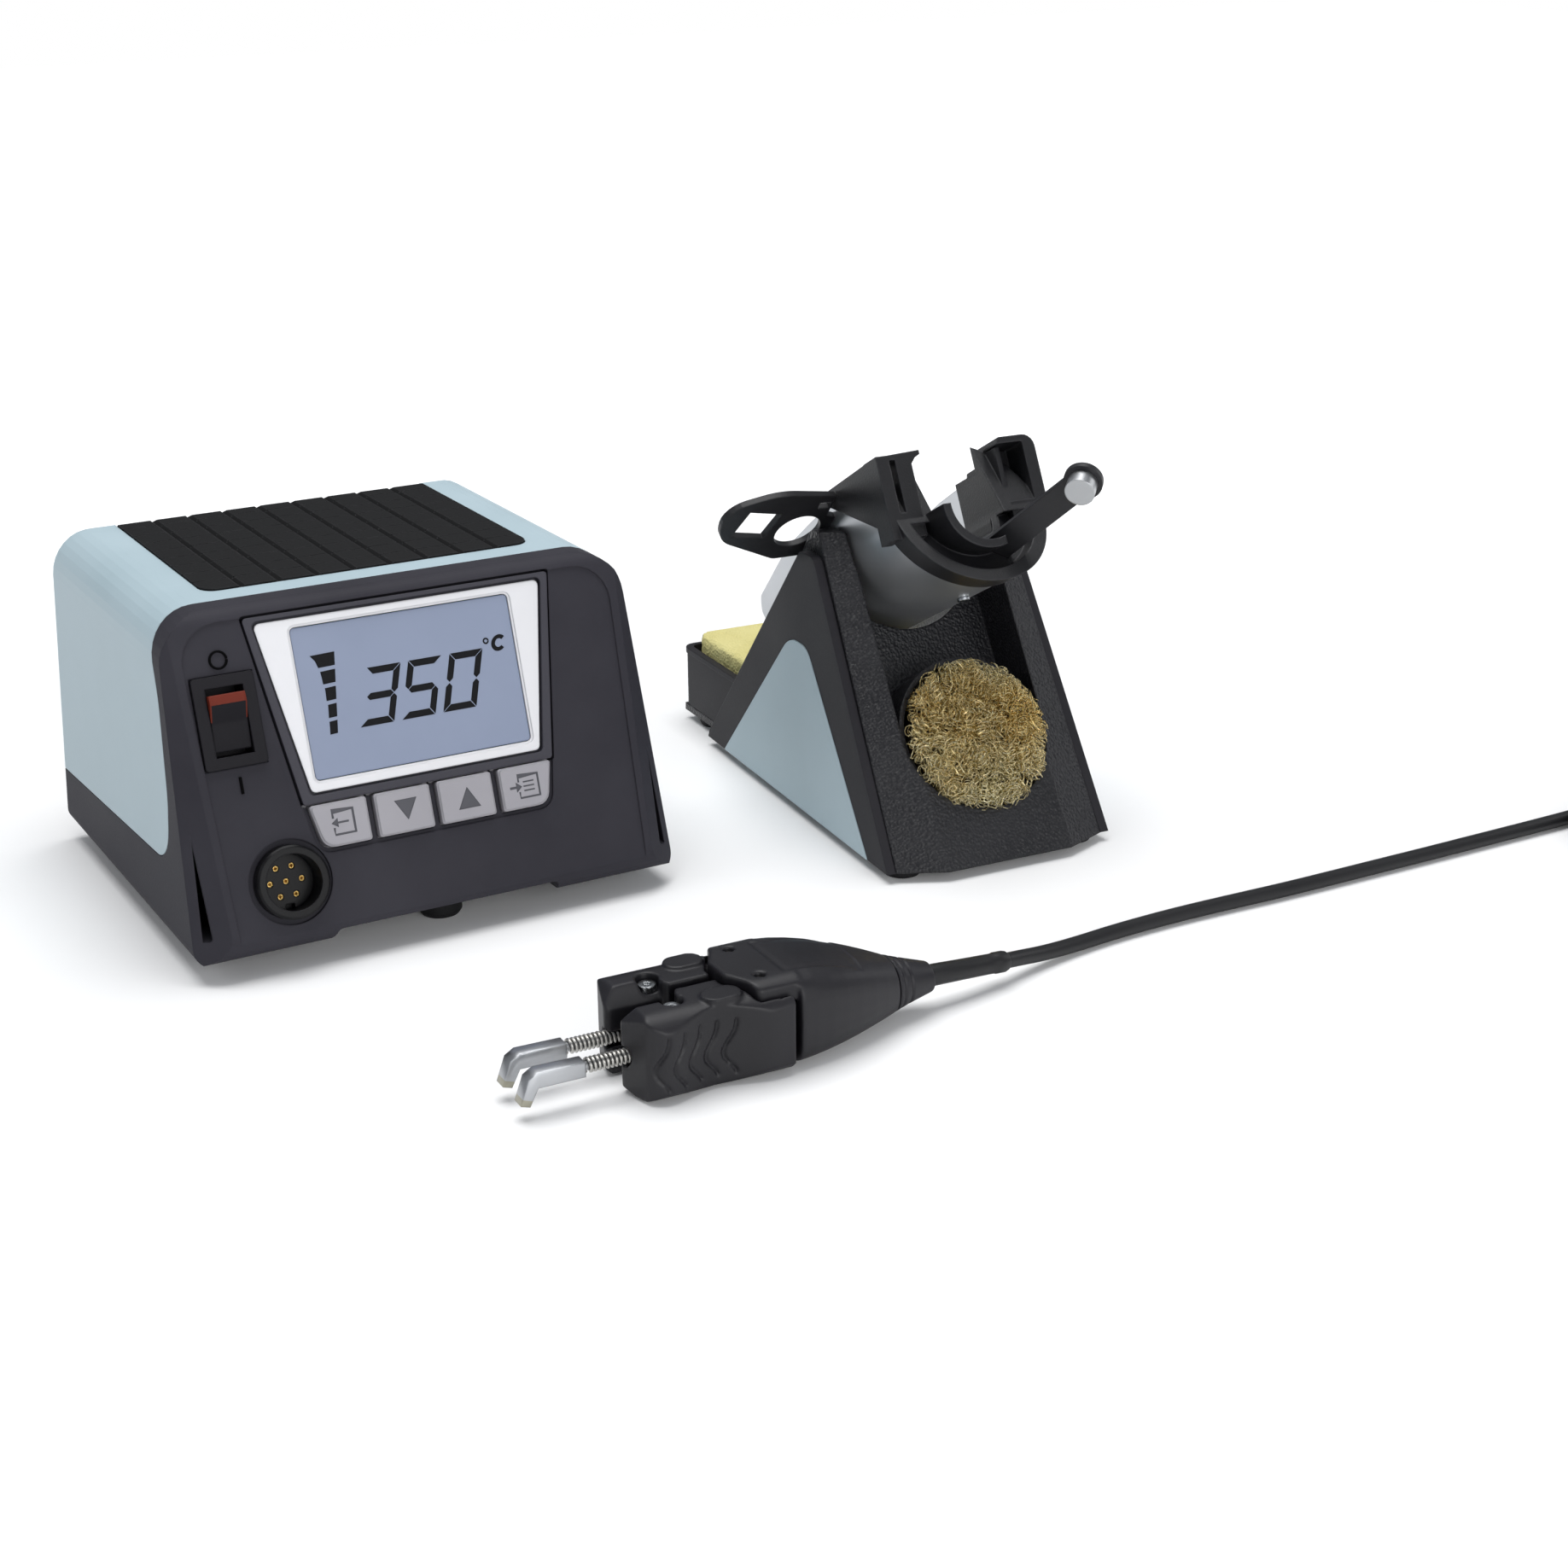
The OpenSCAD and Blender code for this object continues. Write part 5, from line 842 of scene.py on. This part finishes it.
# %% Moulded copies of the grip
def moulded(name, voxel, passes, press, body):
    mesh = nodes[name].data.copy()
    blank = bpy.data.objects.new("blank", mesh)
    bpy.context.scene.collection.objects.link(blank)
    bm = bmesh.new()
    bm.from_mesh(mesh)
    bmesh.ops.remove_doubles(bm, verts=bm.verts, dist=0.000001)
    bm.to_mesh(mesh)
    bm.free()
    grid = blank.modifiers.new("grid", "REMESH")
    grid.mode, grid.voxel_size = "VOXEL", voxel
    depsgraph = bpy.context.evaluated_depsgraph_get()
    fine = bpy.data.meshes.new_from_object(blank.evaluated_get(depsgraph))
    bm = bmesh.new()
    bm.from_mesh(fine)
    bpy.data.objects.remove(blank)
    for spare in (mesh, fine):
        bpy.data.meshes.remove(spare)
    for _ in range(passes):
        bmesh.ops.smooth_vert(bm, verts=bm.verts, factor=0.5, use_axis_x=True, use_axis_y=True,
                              use_axis_z=True)
    bmesh.ops.transform(bm, matrix=AT_TOOL.inverted(), verts=bm.verts)
    bm.normal_update()
    if press:
        for vert in bm.verts:
            vert.co = press(vert.co.copy(), vert.normal)
    slot = slot_of[name]
    piece = mesh_object(name + "_moulded", bm, AT_TOOL, body, FINISHES[slot], 180)
    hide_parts(name)
    return piece


def step(value, low, high):
    t = max(0.0, min(1.0, (value - low) / (high - low)))
    return t * t * (3 - 2 * t)


FIELD_FROM, FIELD_TO, FIELD_HALF, FIELD_DEPTH, FIELD_SLOPE = 43.0, 67.2, 9.8, 0.3, 0.6
CAP_RIBS, RIB_HALF, RIB_DEPTH = (82.0, 84.6), 0.5, 0.45


def shell_field(at, normal):
    if normal.z > 0.5:
        starts = step(at.x, FIELD_FROM, FIELD_FROM + FIELD_SLOPE)
        ends = step(at.x, FIELD_TO - FIELD_SLOPE, FIELD_TO)
        aside = step(abs(at.y), FIELD_HALF, FIELD_HALF + FIELD_SLOPE)
        at.z -= FIELD_DEPTH * starts * (1 - ends) * (1 - aside)
    return at


def cap_ribs(at, normal):
    dip = max(1 - abs(at.x - rib) / RIB_HALF for rib in CAP_RIBS)
    if abs(normal.x) < 0.7:
        at -= normal * RIB_DEPTH * max(0.0, min(1.0, dip * 1.6))
    return at


GRIP = (  # node, voxel in metres, smoothing passes, what is pressed in, body
    ("grip_housing", 0.00048, 4, shell_field, "base"), ("end_cap", 0.0004, 3, cap_ribs, "base"),
    ("left_arm", 0.00036, 4, None, "left_arm_set"), ("right_arm", 0.00036, 4, None, "right_arm_set"))
for settings in GRIP:
    piece = moulded(*settings)
    print(piece.name, "triangles:", sum(len(p.vertices) - 2 for p in piece.data.polygons))

# %% [markdown]
# A small coil spring sits behind each tip. A spring is a round wire swept along a helix, which the
# spin operator makes when every step also moves along the axis. The tips get a fine bevel, and their
# bent ends, which touch the solder, are tinned: a plane cuts the mesh there and the end takes a second
# finish.

# %% Springs and tips
SPRING_TURNS, TURN_STEPS, WIRE_R, COIL_R = 14, 20, 0.43, 1.75
TIP_BEVEL, TIN_BACK, TIN_HEIGHT, TIN_SLOPE = 0.16, 1.2, 6.0, Vector((0.35, 0, 1.0))
for side, body in (("left", "left_arm_set"), ("right", "right_arm_set")):
    solid = [AT_TOOL.inverted() @ v.co for v in nodes[side + "_spring"].data.vertices]
    start, end = min(v.x for v in solid), max(v.x for v in solid)
    axis_y = (min(v.y for v in solid) + max(v.y for v in solid)) / 2
    axis_z = (min(v.z for v in solid) + max(v.z for v in solid)) / 2
    spring_bm = bmesh.new()
    bmesh.ops.create_circle(spring_bm, cap_ends=True, segments=8, radius=WIRE_R)
    bmesh.ops.transform(spring_bm, matrix=turn(math.pi / 2, "X"), verts=spring_bm.verts)
    bmesh.ops.translate(spring_bm, vec=(COIL_R, 0, 0), verts=spring_bm.verts)
    steps = SPRING_TURNS * TURN_STEPS
    bmesh.ops.spin(spring_bm, geom=spring_bm.faces[:], cent=(0, 0, 0), axis=(0, 0, 1),
                   dvec=(0, 0, (end - start - 2.4 * WIRE_R) / steps), angle=SPRING_TURNS * math.tau,
                   steps=steps, use_merge=False, use_duplicate=False)
    lay_down = shift(start + 1.2 * WIRE_R, axis_y, axis_z) @ turn(math.pi / 2, "Y")
    bmesh.ops.transform(spring_bm, matrix=lay_down, verts=spring_bm.verts)
    coil = mesh_object(side + "_coil_spring", tidy(spring_bm, 0.001), AT_TOOL, body,
                       FINISHES["spring_steel"], 180)
    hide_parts(side + "_spring")

    tip_bm = bmesh.new()
    tip_bm.from_mesh(nodes[side + "_tip"].data)
    bmesh.ops.transform(tip_bm, matrix=AT_TOOL.inverted(), verts=tip_bm.verts)
    bmesh.ops.remove_doubles(tip_bm, verts=tip_bm.verts, dist=0.001)
    bmesh.ops.dissolve_limit(tip_bm, angle_limit=math.radians(1), verts=tip_bm.verts, edges=tip_bm.edges)
    soften(tip_bm, TIP_BEVEL, 2, 40)
    tip_end = min(v.co.x for v in tip_bm.verts)
    tin_point = Vector((tip_end + TIN_BACK, axis_y, TIN_HEIGHT))
    bmesh.ops.bisect_plane(tip_bm, geom=all_of(tip_bm), dist=0.001, plane_co=tin_point,
                           plane_no=TIN_SLOPE)
    for face in tip_bm.faces:
        spot = face.calc_center_median()
        if (spot - tin_point).dot(TIN_SLOPE) < 0 and spot.x < tip_end + 5:
            face.material_index = 1
    tip = mesh_object(side + "_tip_bar", tip_bm, AT_TOOL, body, FINISHES["tip_metal"], 30)
    tip.data.materials.append(FINISHES["tinned"])
    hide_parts(side + "_tip")
print("springs and tips ready")

# %% [markdown]
# The sleeve behind the grip is a soft rubber tube that steps up to a ring at its end. It is a curve
# with a round bevel, as the lead is, and the thickness of each point makes the taper and the ring.

# %% Sleeve behind the grip
SLEEVE_R = 3.1
SLEEVE = (  # x, y, z, share of the radius
    (88.2, 0, 9.4, 1.0), (92, 0, 9.4, 1.0), (96, 0.15, 9.25, 0.99), (100, 0.45, 8.9, 0.97),
    (104, 0.9, 8.5, 0.95), (108, 1.5, 8.0, 0.94), (112, 2.15, 7.5, 0.93), (115.6, 2.8, 6.98, 0.92),
    (116.0, 2.9, 6.92, 0.99), (119.6, 3.6, 6.42, 0.99), (120.2, 3.72, 6.34, 0.9))
sleeve_bm, _ = swept_line([p[:3] for p in SLEEVE], SLEEVE_R, [p[3] for p in SLEEVE], "POLY", AT_TOOL)
sleeve = mesh_object("lead_sleeve_tube", sleeve_bm, None, "base", FINISHES["cord_rubber"],
                     40)
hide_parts("lead_sleeve")
print("sleeve faces:", len(sleeve.data.polygons))
